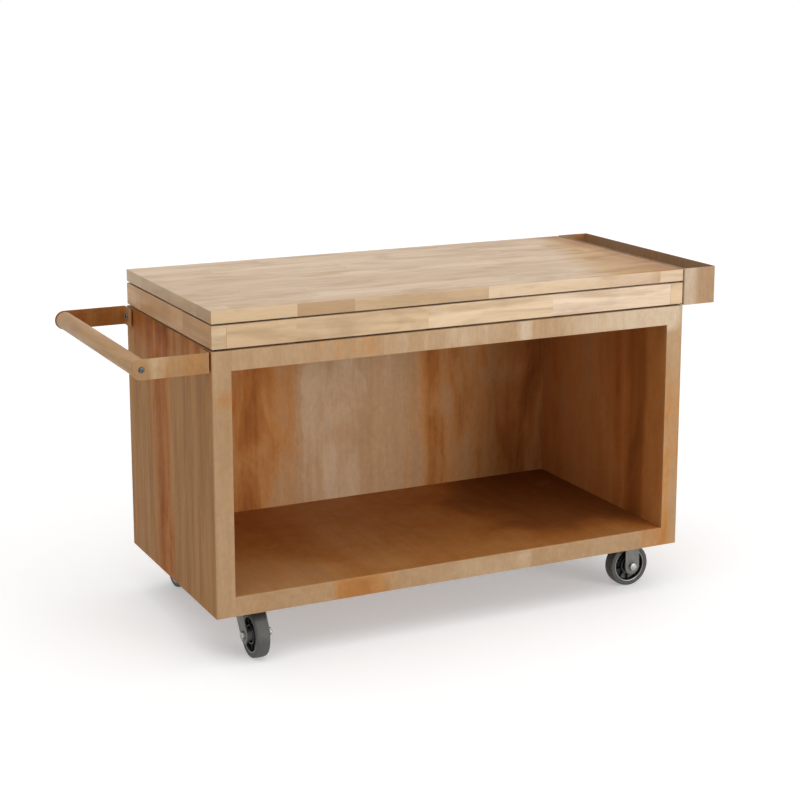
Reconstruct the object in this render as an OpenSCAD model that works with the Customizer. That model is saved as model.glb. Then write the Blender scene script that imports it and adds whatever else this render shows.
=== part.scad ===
// Rolling outdoor prep table: folded steel cabinet with an open bay, wooden worktop on a wooden frame,
// push handle on the left, planter trough on the right, two swivel casters left and two fixed casters right.
// Origin on the floor under the middle of the overall box, X towards the trough, front face towards -Y.

/* [Cabinet] */
// Length of the steel cabinet, from the handle side to the trough side
cabinet_l = 1350; // [1100:10:1700]
// Depth of the cabinet, front to back
cabinet_w = 660; // [560:10:800]
// Height of the cabinet, from its bottom edge to its steel top
cabinet_h = 670; // [560:5:760]
// Height of the cabinet's bottom edge above the floor
ground_gap = 130; // [128:1:145]
// Width of the steel frame seen round the bay
frame_w = 50; // [46:1:70]
// Thickness of the outer sheet
sheet_t = 3; // [2:0.5:4]
// Thickness of the bay lining and of the hidden channels
liner_t = 2; // [1.5:0.5:3]
// Inner radius of the folds
fold_r = 1; // [0.5:0.5:3]
// Width of the flanges folded on the bay lining
liner_flange = 20; // [12:1:30]
// Depth of the tray folded from the back panel
tray_d = 11; // [8:1:20]
// Width of the hidden stiffening channels
channel_w = 40; // [30:1:60]
// Depth of the stiffening channels under the steel top and the bay floor
channel_d = 30; // [20:1:40]

/* [Worktop] */
// Step from the cabinet's faces back to the wood's faces
wood_inset = 2; // [1:0.5:6]
// Shadow gap between the steel top and the wooden frame
low_gap = 4; // [2:0.5:6]
// Height of the wooden frame's visible face
apron_h = 60; // [50:1:80]
// Thickness of the wooden frame's rails
apron_t = 38; // [34:1:50]
// Shadow gap between the wooden frame and the worktop board
high_gap = 3; // [2:0.5:5]
// Depth of the rebates that make the two shadow gaps
rebate_d = 10; // [5:1:16]
// Thickness of the worktop board
board_t = 32; // [26:1:45]
// Broken edge on the wooden pieces
edge_break = 1; // [0.5:0.25:2]
// Width of the battens across the wooden frame
batten_w = 45; // [35:1:70]
// Distance between neighbouring battens
batten_pitch = 400; // [300:10:480]
// Radius of the dowels in the frame's corner joints
dowel_r = 5; // [4:0.5:6]
// Length of the dowels
dowel_l = 50; // [36:1:60]

/* [Handle] */
// Distance from the cabinet's side to the centre of the handle bar
handle_reach = 173; // [130:1:220]
// Width of the steel straps, seen from the front
strap_w = 50; // [44:1:60]
// Thickness of the straps
strap_t = 4; // [3:0.5:6]
// Length of the tab folded on each strap
tab_l = 56; // [48:1:70]
// Diameter of the wooden handle bar
bar_d = 46; // [36:1:50]

/* [Planter trough] */
// Outside width of the trough
trough_w = 100; // [80:1:160]
// Outside height of the trough
trough_h = 100; // [90:1:140]
// Thickness of the trough's sheet
trough_t = 2.5; // [2:0.5:4]
// Clearance between the trough and the cabinet's right side
trough_gap = 2; // [1:0.5:6]
// Radius of the drain holes in the trough's floor
drain_r = 5; // [3:0.5:8]
// Number of drain holes
drain_count = 5; // [2:1:8]
// Distance between the trough's bolts
trough_bolt_pitch = 220; // [160:10:240]

/* [Casters] */
// Wheel diameter
wheel_d = 120; // [110:1:124]
// Width of the tyre
tyre_w = 36; // [30:1:44]
// Radius of the joint between the tyre and the rim
rim_r = 47; // [42:0.5:49]
// Radius of the recess in the wheel's side
recess_r = 44; // [36:0.5:44]
// Radius of the ring round the hub
hub_ring_r = 25; // [20:0.5:28]
// Number of ribs on each side of the wheel's web
rib_count = 10; // [5:1:14]
// Height from the floor to the top of a caster's plate
caster_h = 155; // [150:1:162]
// Clear width between the fork's legs
fork_in = 57; // [54:1:64]
// Thickness of the fork's sheet
fork_t = 3; // [2.5:0.5:4]
// Radius of the round end of a fork leg
leg_r = 22; // [16:0.5:26]
// Distance of a swivel wheel's axle behind its kingpin
trail = 41; // [34:1:48]
// Length of a caster's plate
plate_l = 100; // [96:1:120]
// Width of a caster's plate
plate_w = 85; // [80:1:100]
// Thickness of a caster's plate
plate_t = 3; // [2.5:0.5:5]
// Distance between a plate's bolts, along the wheel
bolt_dx = 80; // [78:1:90]
// Distance between a plate's bolts, across the wheel
bolt_dy = 60; // [50:1:66]
// Distance from the cabinet's left side to the kingpins
inset_left = 117; // [100:1:160]
// Distance from the cabinet's right side to the fixed wheels' axles
inset_right = 106; // [90:1:160]
// Distance from the cabinet's front and back to the casters' centres
inset_side = 84; // [70:1:140]

/* [Bearings and fasteners] */
// Radius of the ring of balls in a swivel head
race_r = 24; // [21:0.5:26]
// Radius of the balls
ball_r = 3; // [2.5:0.25:3.5]
// Number of balls in a swivel head
ball_count = 16; // [8:1:18]
// Radius of the kingpin
kingpin_r = 6; // [5:0.5:8]
// Radius of the axle bolts
axle_r = 6; // [5:0.5:7]
// Radial clearance of a running fit
run_gap = 0.05; // [0.02:0.01:0.1]
// Radial clearance of a piece that is held still in its hole
seat_gap = 0.05; // [0.02:0.01:0.2]
// Radius of the bolts in the handle, the trough and the caster plates
bolt_r = 4; // [3:0.5:5]
// Radial clearance of a bolt in a drilled sheet
hole_gap = 0.25; // [0.1:0.05:0.6]
// Length of the threaded inserts in the wood
insert_l = 20; // [14:1:28]

/* [Hidden] */
$fn = 48;
eps = 0.5;

total_l = handle_reach + strap_w / 2 + cabinet_l + trough_gap + trough_w;
left_x = -total_l / 2 + handle_reach + strap_w / 2;
front_y = -cabinet_w / 2;
bay_t = frame_w - sheet_t;
top_under = cabinet_h - sheet_t;
floor_under = frame_w - sheet_t;
liner_back_y = cabinet_w - sheet_t - tray_d;

wood_l = cabinet_l - 2 * wood_inset;
wood_w = cabinet_w - 2 * wood_inset;
apron_z = cabinet_h + low_gap;
apron_top = apron_z + apron_h;
board_z = apron_top + high_gap;
rail_full_h = board_z - cabinet_h;
batten_xs = [for (i = [-1:1]) cabinet_l / 2 + i * batten_pitch];
batten_y = wood_inset + apron_t;
batten_l = wood_w - 2 * apron_t;
worktop_bolt_ys = [cabinet_w * 0.2, cabinet_w * 0.8];
board_screw_ys = [cabinet_w * 0.32, cabinet_w * 0.68];
channel_xs = [cabinet_l / 2 - batten_pitch / 2, cabinet_l / 2 + batten_pitch / 2];
dowel_in_end = 20;
dowel_zs = [cabinet_h + rail_full_h * 0.3, cabinet_h + rail_full_h * 0.7];
board_screw_r = 3;
board_screw_head_r = 6;
board_screw_head_h = 3;
board_screw_bite = 20;
board_screw_seat = cabinet_h + rail_full_h * 0.5;
worktop_bolt_bite = 30;

strap_z = cabinet_h - strap_w;
bar_z = cabinet_h - strap_w / 2;
spacer_t = wood_inset + trough_gap;
tab_x = -spacer_t - strap_t;
backing_t = 6;
backing_w = 26;
backing_gap = 1;
tab_bolt_in = sheet_t + tray_d + backing_gap + backing_w / 2;
tab_bolt_ys = [tab_bolt_in, cabinet_w - tab_bolt_in];
spacer_r = 9;

trough_x = cabinet_l + trough_gap;
trough_z = cabinet_h;
trough_bolt_z = apron_z + apron_h / 2;
trough_bolt_ys = [for (i = [-1:1]) cabinet_w / 2 + i * trough_bolt_pitch];

wheel_r = wheel_d / 2;
crown_gap = 7;
crown_z = wheel_d + crown_gap;
fork_out = fork_in + 2 * fork_t;
plate_z = caster_h - plate_t;
race_gap = 2;
race_z = (crown_z + fork_t + plate_z) / 2;
groove_gap = 0.2;
cup_wall = 4;
cup_r = race_r + ball_r + cup_wall;
cup_edge = 2;
kingpin_head_rim = 5;
kingpin_head_r = kingpin_r + kingpin_head_rim;
kingpin_head_h = 5;
kingpin_drop = 0.3;
kingpin_top_rim = 4;
kingpin_top_r = kingpin_r + kingpin_top_rim;
sleeve_wall = 2.5;
sleeve_r = axle_r + sleeve_wall;
bush_wall = 2.5;
bush_r = sleeve_r + bush_wall;
hub_side_gap = 1;
hub_l = fork_in - 2 * hub_side_gap;
boss_wall = 4;
boss_r = bush_r + boss_wall;
axle_head_r = axle_r * 1.83;
axle_head_h = axle_r * 1.25;
axle_nut_h = axle_r * 1.6;
web_t = 7;
rim_inset = 1;
rim_w = tyre_w - 2 * rim_inset;
ring_inset = 2;
ring_half_l = rim_w / 2 - ring_inset;
tyre_chamfer = 4;
tyre_edge = 1;
rib_t = 3;
rib_drop = 4;
hub_ring_t = 3.5;
draft = 2;
bolt_head_rim = 3;
bolt_head_r = bolt_r + bolt_head_rim;
bolt_head_h = bolt_r * 1.1;
bolt_end = 2;
bore_spare = 1;
socket_r = bolt_r * 0.7;
insert_wall = 2;
insert_r = bolt_r + insert_wall;
insert_spare = 4;
insert_bore_l = insert_l + insert_spare;
hex_head_r = bolt_r * 1.85;
hex_head_h = bolt_r * 1.3;
plate_corner_r = 8;
fork_bend_r = 4;
crown_l = 60;
fixed_shoulder = 24;
swivel_shoulder = 8;
rail_web_z = caster_h - ground_gap;
rail_web_t = sheet_t;
rail_margin = 6;
rail_w = plate_l + 2 * rail_margin;
rail_l = cabinet_w - 2 * (sheet_t + fold_r);
nut_h = 6;

steel_light = "#b8946b";
steel_dark = "#8a5a34";
wood_light = "#d8bd97";
zinc = "#8d8f90";
rubber_grey = "#4a4a46";
bolt_steel = "#b9babb";

// Places: the cabinet's own corner, mirrored sides and the four casters

module in_cabinet() {
    translate([left_x, front_y, ground_gap]) children();
}

module mirrored_left_right() {
    translate([cabinet_l, 0, 0]) mirror([1, 0, 0]) children();
}

module mirrored_front_back() {
    translate([0, cabinet_w, 0]) mirror([0, 1, 0]) children();
}

module at_fixed_front() {
    translate([left_x + cabinet_l - inset_right, front_y + inset_side, 0]) children();
}

module at_fixed_back() {
    translate([left_x + cabinet_l - inset_right, -front_y - inset_side, 0]) children();
}

module at_swivel_front() {
    translate([left_x + inset_left, front_y + inset_side, 0]) rotate([0, 0, -90]) children();
}

module at_swivel_back() {
    translate([left_x + inset_left, -front_y - inset_side, 0]) rotate([0, 0, 90]) children();
}

module at_swivel_axle() {
    translate([trail, 0, 0]) children();
}

// Plane shapes

module rounded_rect(w, d, r) {
    translate([r, 0]) square([w - 2 * r, d]);
    translate([0, r]) square([w, d - 2 * r]);
    for (x = [r, w - r], y = [r, d - r]) translate([x, y]) circle(r);
}

// A folded sheet seen on its edge: a channel open towards +X, with its back along Y
module channel_outline(depth, length, t) {
    difference() {
        rounded_rect(depth * 2, length, t + fold_r);
        translate([t, t]) rounded_rect(depth * 2, length - 2 * t, fold_r);
        translate([depth, -eps]) square([depth * 2, length + 2 * eps]);
    }
}

// Fasteners, with the head's seat at z = 0 and the shank towards +Z

module button_bolt(len) {
    difference() {
        union() {
            cylinder(h = len, r = bolt_r);
            rotate_extrude() polygon([
                [0, 0], [bolt_head_r, 0], [bolt_head_r, -bolt_head_h * 0.35],
                [bolt_head_r * 0.86, -bolt_head_h * 0.75], [bolt_head_r * 0.6, -bolt_head_h],
                [0, -bolt_head_h]
            ]);
        }
        translate([0, 0, -bolt_head_h - eps]) cylinder(h = bolt_head_h * 0.6 + eps, r = socket_r, $fn = 6);
    }
}

module hex_bolt(r, len, head_r, head_h) {
    cylinder(h = len, r = r);
    translate([0, 0, -head_h]) cylinder(h = head_h, r = head_r, $fn = 6);
}

module tube(h, r_out, r_in) {
    difference() {
        cylinder(h = h, r = r_out);
        translate([0, 0, -eps]) cylinder(h = h + 2 * eps, r = r_in);
    }
}

// Cabinet sheets

module side_panel() {
    linear_extrude(cabinet_h) channel_outline(frame_w, cabinet_w, sheet_t);
}

module side_panel_left() {
    color(steel_dark) in_cabinet() difference() {
        side_panel();
        for (y = tab_bolt_ys) translate([-eps, y, bar_z]) rotate([0, 90, 0])
            cylinder(h = sheet_t + 2 * eps, r = bolt_r + hole_gap);
    }
}

module side_panel_right() {
    color(steel_dark) in_cabinet() mirrored_left_right() side_panel();
}

// Section of a sheet across the cabinet's depth, with its front and back edges folded down as rails
module folded_section() {
    translate([0, frame_w]) rotate(-90) channel_outline(frame_w, cabinet_w, sheet_t);
}

// Carries a section of Y and Z along X, between the side panels' frames
module across_bay() {
    translate([frame_w, 0, 0]) rotate([90, 0, 90]) linear_extrude(cabinet_l - 2 * frame_w) children();
}

module top_panel() {
    color(steel_light) in_cabinet() translate([0, 0, cabinet_h - frame_w]) difference() {
        union() {
            across_bay() folded_section();
            translate([sheet_t, sheet_t + fold_r, frame_w - sheet_t])
                cube([cabinet_l - 2 * sheet_t, cabinet_w - 2 * (sheet_t + fold_r), sheet_t]);
        }
        for (x = batten_xs, y = worktop_bolt_ys) translate([x, y, frame_w - sheet_t - eps])
            cylinder(h = sheet_t + 2 * eps, r = bolt_r + hole_gap);
    }
}

// The bay floor with the front rail folded on it; its ends butt against the bay lining
module floor_panel() {
    color(steel_light) in_cabinet() across_bay() intersection() {
        folded_section();
        square([liner_back_y, frame_w]);
    }
}

// A shallow tray, open to the back, with the back rail folded on behind the bay floor
module back_panel() {
    w = cabinet_l - 2 * (sheet_t + fold_r);
    h = cabinet_h - sheet_t - fold_r - floor_under;
    color(steel_dark) in_cabinet() union() {
        translate([sheet_t + fold_r, liner_back_y, floor_under]) difference() {
            cube([w, tray_d, h]);
            translate([sheet_t, sheet_t, sheet_t]) cube([w - 2 * sheet_t, tray_d, h - 2 * sheet_t]);
        }
        across_bay() intersection() {
            folded_section();
            translate([liner_back_y, 0]) square([cabinet_w, frame_w]);
        }
    }
}

module bay_liner() {
    y0 = sheet_t;
    len = liner_back_y - y0;
    translate([frame_w, y0, floor_under]) linear_extrude(top_under - floor_under)
        mirror([1, 0]) channel_outline(liner_flange, len, liner_t);
}

module bay_liner_left() {
    color(steel_dark) in_cabinet() bay_liner();
}

module bay_liner_right() {
    color(steel_dark) in_cabinet() mirrored_left_right() bay_liner();
}

module wall_stiffener() {
    translate([sheet_t, cabinet_w / 2 - channel_w / 2, floor_under])
        linear_extrude(top_under - floor_under) difference() {
            square([bay_t - liner_t, channel_w]);
            translate([liner_t, liner_t]) square([bay_t - 2 * liner_t, channel_w]);
        }
}

module wall_stiffeners() {
    color(steel_dark) in_cabinet() {
        wall_stiffener();
        mirrored_left_right() wall_stiffener();
    }
}

module channel_section(w, d, t) {
    difference() {
        square([w, d]);
        translate([t, -eps]) square([w - 2 * t, d - t + eps]);
    }
}

module top_stiffeners() {
    y0 = sheet_t + fold_r;
    color(steel_dark) in_cabinet() for (x = channel_xs)
        translate([x - channel_w / 2, liner_back_y, top_under - channel_d]) rotate([90, 0, 0])
            linear_extrude(liner_back_y - y0) channel_section(channel_w, channel_d, liner_t);
}

module floor_stiffener() {
    x0 = inset_left + rail_w / 2;
    x1 = cabinet_l - inset_right - rail_w / 2;
    color(steel_dark) in_cabinet()
        translate([x0, cabinet_w / 2 - channel_w / 2, floor_under - channel_d]) rotate([90, 0, 90])
            linear_extrude(x1 - x0) channel_section(channel_w, channel_d, liner_t);
}

// A channel under the bay floor, its web down, that carries a front and a back caster
module caster_rail(x, along_x) {
    bx = along_x ? bolt_dx : bolt_dy;
    by = along_x ? bolt_dy : bolt_dx;
    difference() {
        translate([x - rail_w / 2, sheet_t + fold_r, rail_web_z])
            cube([rail_w, rail_l, floor_under - rail_web_z]);
        translate([x - rail_w / 2 + rail_web_t, 0, rail_web_z + rail_web_t])
            cube([rail_w - 2 * rail_web_t, cabinet_w, floor_under]);
        for (y = [inset_side, cabinet_w - inset_side], i = [-0.5, 0.5], j = [-0.5, 0.5])
            translate([x + i * bx, y + j * by, rail_web_z - eps])
                cylinder(h = rail_web_t + 2 * eps, r = bolt_r + hole_gap);
    }
}

module caster_rail_left() {
    color(steel_dark) in_cabinet() caster_rail(inset_left, false);
}

module caster_rail_right() {
    color(steel_dark) in_cabinet() caster_rail(cabinet_l - inset_right, true);
}

// Wooden frame and worktop

// A wooden block with its long edges broken
module eased_block(size) {
    c = edge_break * sqrt(2);
    difference() {
        cube(size);
        for (y = [0, size[1]], z = [0, size[2]]) translate([-eps, y, z]) rotate([45, 0, 0])
            translate([0, -c / 2, -c / 2]) cube([size[0] + 2 * eps, c, c]);
        for (x = [0, size[0]], z = [0, size[2]]) translate([x, -eps, z]) rotate([0, 45, 0])
            translate([-c / 2, 0, -c / 2]) cube([c, size[1] + 2 * eps, c]);
        for (x = [0, size[0]], y = [0, size[1]]) translate([x, y, -eps]) rotate([0, 0, 45])
            translate([-c / 2, -c / 2, 0]) cube([c, c, size[2] + 2 * eps]);
    }
}

// Section of a frame rail, as distance from the cabinet's face against height: the visible band stands
// proud between a rebate below it and one above it
module apron_profile() {
    e = edge_break;
    face = wood_inset;
    step = wood_inset + rebate_d;
    inner = wood_inset + apron_t;
    polygon([
        [step, cabinet_h], [inner, cabinet_h], [inner, board_z], [step, board_z], [step, apron_top],
        [face + e, apron_top], [face, apron_top - e], [face, apron_z + e], [face + e, apron_z],
        [step, apron_z]
    ]);
}

module long_rail() {
    x0 = wood_inset + apron_t;
    translate([x0, 0, 0]) rotate([90, 0, 90]) linear_extrude(cabinet_l - 2 * x0) apron_profile();
}

// What the two rebates and the broken edges take off the front end of an end rail
module end_rail_cuts() {
    e = edge_break;
    c = e * sqrt(2);
    step = wood_inset + rebate_d;
    rotate([90, 0, 90]) linear_extrude(frame_w) {
        polygon([
            [0, cabinet_h - eps], [step, cabinet_h - eps], [step, apron_z], [wood_inset + e, apron_z],
            [0, apron_z + e + wood_inset]
        ]);
        polygon([
            [0, board_z + eps], [step, board_z + eps], [step, apron_top], [wood_inset + e, apron_top],
            [0, apron_top - e - wood_inset]
        ]);
    }
    translate([wood_inset, wood_inset, apron_z - eps]) rotate([0, 0, 45])
        translate([-c / 2, -c / 2, 0]) cube([c, c, apron_h + 2 * eps]);
}

module end_rail() {
    difference() {
        translate([0, cabinet_w - wood_inset, 0]) rotate([90, 0, 0]) linear_extrude(wood_w) apron_profile();
        end_rail_cuts();
        mirrored_front_back() end_rail_cuts();
    }
}

module dowel_places() {
    x0 = wood_inset + apron_t - dowel_in_end;
    for (y = [wood_inset + apron_t / 2, cabinet_w - wood_inset - apron_t / 2], z = dowel_zs) {
        translate([x0, y, z]) rotate([0, 90, 0]) children();
        translate([cabinet_l - x0, y, z]) rotate([0, -90, 0]) children();
    }
}

module drilled_rail() {
    difference() {
        children();
        dowel_places() cylinder(h = dowel_l, r = dowel_r + seat_gap);
    }
}

module apron_front() {
    color(wood_light) in_cabinet() drilled_rail() long_rail();
}

module apron_back() {
    color(wood_light) in_cabinet() drilled_rail() mirrored_front_back() long_rail();
}

module apron_left() {
    color(wood_light) in_cabinet() drilled_rail() end_rail();
}

module apron_right() {
    color(wood_light) in_cabinet() difference() {
        drilled_rail() mirrored_left_right() end_rail();
        for (y = trough_bolt_ys) translate([cabinet_l, y, trough_bolt_z]) rotate([0, -90, 0])
            cylinder(h = wood_inset + insert_bore_l, r = insert_r + seat_gap);
    }
}

module apron_dowels() {
    color(wood_light) in_cabinet() dowel_places() cylinder(h = dowel_l, r = dowel_r);
}

module board_screw_places() {
    for (x = batten_xs, y = board_screw_ys) translate([x, y, board_screw_seat]) children();
}

module apron_battens() {
    color(wood_light) in_cabinet() difference() {
        for (x = batten_xs) translate([x - batten_w / 2, batten_y, cabinet_h])
            cube([batten_w, batten_l, rail_full_h]);
        board_screw_places() {
            translate([0, 0, -rail_full_h]) cylinder(h = rail_full_h, r = board_screw_head_r + bore_spare);
            translate([0, 0, -eps]) cylinder(h = rail_full_h, r = board_screw_r + seat_gap);
        }
        for (x = batten_xs, y = worktop_bolt_ys) translate([x, y, cabinet_h - eps])
            cylinder(h = worktop_bolt_bite + bore_spare + eps, r = bolt_r + seat_gap);
    }
}

module worktop_board() {
    color(wood_light) in_cabinet() difference() {
        translate([wood_inset, wood_inset, board_z]) eased_block([wood_l, wood_w, board_t]);
        board_screw_places() cylinder(
            h = board_z - board_screw_seat + board_screw_bite + bore_spare, r = board_screw_r + seat_gap);
    }
}

module board_screws() {
    color(bolt_steel) in_cabinet() board_screw_places() {
        cylinder(h = board_z - board_screw_seat + board_screw_bite, r = board_screw_r);
        translate([0, 0, -board_screw_head_h]) cylinder(h = board_screw_head_h, r = board_screw_head_r);
    }
}

module worktop_bolts() {
    color(bolt_steel) in_cabinet() for (x = batten_xs, y = worktop_bolt_ys)
        translate([x, y, top_under]) button_bolt(sheet_t + worktop_bolt_bite);
}

// Planter trough

module planter_trough() {
    color(steel_light) in_cabinet() translate([trough_x, 0, trough_z]) difference() {
        linear_extrude(trough_h) rounded_rect(trough_w, cabinet_w, trough_t + fold_r);
        translate([trough_t, trough_t, trough_t]) linear_extrude(trough_h)
            rounded_rect(trough_w - 2 * trough_t, cabinet_w - 2 * trough_t, fold_r);
        for (i = [1:drain_count]) translate([trough_w / 2, cabinet_w * (i - 0.5) / drain_count, -eps])
            cylinder(h = trough_t + 2 * eps, r = drain_r);
        for (y = trough_bolt_ys) translate([-eps, y, trough_bolt_z - trough_z]) rotate([0, 90, 0])
            cylinder(h = trough_t + 2 * eps, r = bolt_r + hole_gap);
    }
}

module trough_bolts() {
    color(bolt_steel) in_cabinet() for (y = trough_bolt_ys)
        translate([trough_x + trough_t, y, trough_bolt_z]) rotate([0, -90, 0])
            button_bolt(trough_t + spacer_t + insert_l);
}

// Handle

module handle_strap() {
    difference() {
        union() {
            translate([-handle_reach, 0, strap_z]) cube([handle_reach + tab_x - fold_r, strap_t, strap_w]);
            translate([-handle_reach, strap_t, bar_z]) rotate([90, 0, 0])
                cylinder(h = strap_t, r = strap_w / 2);
            translate([0, 0, strap_z]) linear_extrude(strap_w) strap_fold();
        }
        translate([-handle_reach, strap_t + eps, bar_z]) rotate([90, 0, 0])
            cylinder(h = strap_t + 2 * eps, r = bolt_r + hole_gap);
        translate([tab_x - eps, tab_bolt_in, bar_z]) rotate([0, 90, 0])
            cylinder(h = strap_t + 2 * eps, r = bolt_r + hole_gap);
    }
}

// The fold between a strap and its tab, with the tab turned inwards behind it
module strap_fold() {
    r = strap_t + fold_r;
    x1 = tab_x + strap_t;
    translate([x1 - r, r]) intersection() {
        difference() {
            circle(r);
            circle(fold_r);
        }
        translate([0, -r]) square([r, r]);
    }
    translate([tab_x, r]) square([strap_t, tab_l - r]);
}

module handle_strap_front() {
    color(steel_light) in_cabinet() handle_strap();
}

module handle_strap_back() {
    color(steel_light) in_cabinet() mirrored_front_back() handle_strap();
}

module bar_end_places() {
    translate([-handle_reach, 0, bar_z]) rotate([-90, 0, 0]) children();
    translate([-handle_reach, cabinet_w, bar_z]) rotate([90, 0, 0]) children();
}

module handle_bar() {
    len = cabinet_w - 2 * strap_t;
    r = bar_d / 2;
    c = edge_break;
    color(wood_light) in_cabinet() difference() {
        translate([-handle_reach, strap_t, bar_z]) rotate([-90, 0, 0]) rotate_extrude()
            polygon([[0, 0], [r - c, 0], [r, c], [r, len - c], [r - c, len], [0, len]]);
        bar_end_places() cylinder(h = strap_t + insert_bore_l, r = insert_r + seat_gap);
    }
}

module handle_bar_bolts() {
    color(bolt_steel) in_cabinet() bar_end_places() button_bolt(strap_t + insert_l);
}

module handle_side_bolts() {
    color(bolt_steel) in_cabinet() for (y = tab_bolt_ys) translate([tab_x, y, bar_z]) rotate([0, 90, 0])
        button_bolt(strap_t + spacer_t + sheet_t + backing_t + bolt_end);
}

module handle_backing_plates() {
    color(zinc) in_cabinet() for (y = tab_bolt_ys) difference() {
        translate([sheet_t, y - backing_w / 2, bar_z - backing_w / 2])
            cube([backing_t, backing_w, backing_w]);
        translate([sheet_t - eps, y, bar_z]) rotate([0, 90, 0])
            cylinder(h = backing_t + 2 * eps, r = bolt_r + seat_gap);
    }
}

// Spacers behind the handle's tabs and between the trough and the wooden frame
module spacer_washers() {
    color(zinc) in_cabinet() {
        for (y = tab_bolt_ys) translate([-spacer_t, y, bar_z]) rotate([0, 90, 0])
            tube(spacer_t, spacer_r, bolt_r + hole_gap);
        for (y = trough_bolt_ys) translate([trough_x - spacer_t, y, trough_bolt_z]) rotate([0, 90, 0])
            tube(spacer_t, spacer_r, bolt_r + hole_gap);
    }
}

module threaded_inserts() {
    color("#b59a5a") in_cabinet() {
        bar_end_places() translate([0, 0, strap_t]) tube(insert_l, insert_r, bolt_r + seat_gap);
        for (y = trough_bolt_ys) translate([cabinet_l - wood_inset, y, trough_bolt_z]) rotate([0, -90, 0])
            tube(insert_l, insert_r, bolt_r + seat_gap);
    }
}

// Casters, each in its own frame: kingpin or plate centre at the origin, rolling along X, axle along Y

module plate_bolt_places() {
    for (x = [-bolt_dx / 2, bolt_dx / 2], y = [-bolt_dy / 2, bolt_dy / 2]) translate([x, y, 0]) children();
}

module every_caster() {
    at_fixed_front() children();
    at_fixed_back() children();
    at_swivel_front() children();
    at_swivel_back() children();
}

module caster_bolts() {
    color(bolt_steel) every_caster() plate_bolt_places() translate([0, 0, plate_z])
        hex_bolt(bolt_r, plate_t + rail_web_t + nut_h + bolt_end, hex_head_r, hex_head_h);
}

module caster_weld_nuts() {
    color(bolt_steel) every_caster() plate_bolt_places() translate([0, 0, caster_h + rail_web_t])
        difference() {
            cylinder(h = nut_h, r = hex_head_r, $fn = 6);
            translate([0, 0, -eps]) cylinder(h = nut_h + 2 * eps, r = bolt_r + seat_gap);
        }
}

module caster_plate() {
    translate([0, 0, plate_z]) linear_extrude(plate_t)
        translate([-plate_l / 2, -plate_w / 2]) rounded_rect(plate_l, plate_w, plate_corner_r);
}

module plate_holes() {
    plate_bolt_places() translate([0, 0, plate_z - eps])
        cylinder(h = plate_t + 2 * eps, r = bolt_r + hole_gap);
}

// Where the tangent from p touches the circle round c, on the side given by s = 1 or -1
function tangent_point(p, c, r, s) =
    let (d = p - c, dist = norm(d), a = atan2(d[1], d[0]) + s * acos(r / dist))
    c + r * [cos(a), sin(a)];

// Side view of a fork leg: a crown at height z, shoulders narrowed to w below it, then straight edges
// that meet the round end at the axle
module leg_outline(z, shoulder, w, axle) {
    a = [-w / 2, z - shoulder];
    b = [w / 2, z - shoulder];
    translate(axle) circle(leg_r);
    polygon([
        [-crown_l / 2, z], a, tangent_point(a, axle, leg_r, 1), axle,
        tangent_point(b, axle, leg_r, -1), b, [crown_l / 2, z]
    ]);
}

// End view of a fork: an upside-down U with rounded shoulders
module fork_section(z) {
    difference() {
        translate([-fork_out / 2, -z]) rounded_rect(fork_out, z * 2, fork_t + fork_bend_r);
        translate([-fork_in / 2, -z]) rounded_rect(fork_in, z * 2 - fork_t, fork_bend_r);
        translate([-fork_out, -z * 2]) square([fork_out * 2, z * 2]);
    }
}

module fork_body(z, shoulder, w, axle) {
    intersection() {
        translate([0, fork_out, 0]) rotate([90, 0, 0]) linear_extrude(fork_out * 2)
            leg_outline(z, shoulder, w, axle);
        translate([-plate_l * 2, 0, 0]) rotate([90, 0, 90]) linear_extrude(plate_l * 4) fork_section(z);
    }
}

module axle_hole(x) {
    translate([x, fork_out, wheel_r]) rotate([90, 0, 0]) cylinder(h = fork_out * 2, r = axle_r + hole_gap);
}

module fixed_bracket() {
    difference() {
        union() {
            caster_plate();
            fork_body(plate_z, fixed_shoulder, 2 * leg_r, [0, wheel_r]);
        }
        plate_holes();
        axle_hole(0);
    }
}

module fixed_bracket_front() {
    color(zinc) at_fixed_front() fixed_bracket();
}

module fixed_bracket_back() {
    color(zinc) at_fixed_back() fixed_bracket();
}

module ball_groove() {
    translate([0, 0, race_z]) rotate_extrude() translate([race_r, 0]) circle(ball_r + groove_gap);
}

// Cup of the ball race, from a rounded lip at z = 0 up to its seat at z = h
module race_cup(h) {
    rotate_extrude() {
        square([cup_r - cup_edge, h]);
        translate([0, cup_edge]) square([cup_r, h - cup_edge]);
        translate([cup_r - cup_edge, cup_edge]) intersection() {
            circle(cup_edge);
            translate([0, -cup_edge]) square(cup_edge);
        }
    }
}

// Plate with the upper cup of the ball race; the kingpin's top head sits in its counterbore
module swivel_plate() {
    cup_z = race_z + race_gap / 2;
    difference() {
        union() {
            caster_plate();
            translate([0, 0, cup_z]) race_cup(caster_h - cup_z);
        }
        plate_holes();
        ball_groove();
        translate([0, 0, plate_z]) cylinder(h = plate_t + eps, r = kingpin_top_r + seat_gap);
        cylinder(h = caster_h, r = kingpin_r + seat_gap);
    }
}

module swivel_plate_front() {
    color(zinc) at_swivel_front() swivel_plate();
}

module swivel_plate_back() {
    color(zinc) at_swivel_back() swivel_plate();
}

module kingpin() {
    head_z = crown_z - kingpin_drop - kingpin_head_h;
    translate([0, 0, head_z]) cylinder(h = kingpin_head_h, r = kingpin_head_r);
    translate([0, 0, head_z]) cylinder(h = caster_h - head_z, r = kingpin_r);
    translate([0, 0, plate_z]) cylinder(h = plate_t, r = kingpin_top_r);
}

module kingpins() {
    color(bolt_steel) {
        at_swivel_front() kingpin();
        at_swivel_back() kingpin();
    }
}

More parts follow.
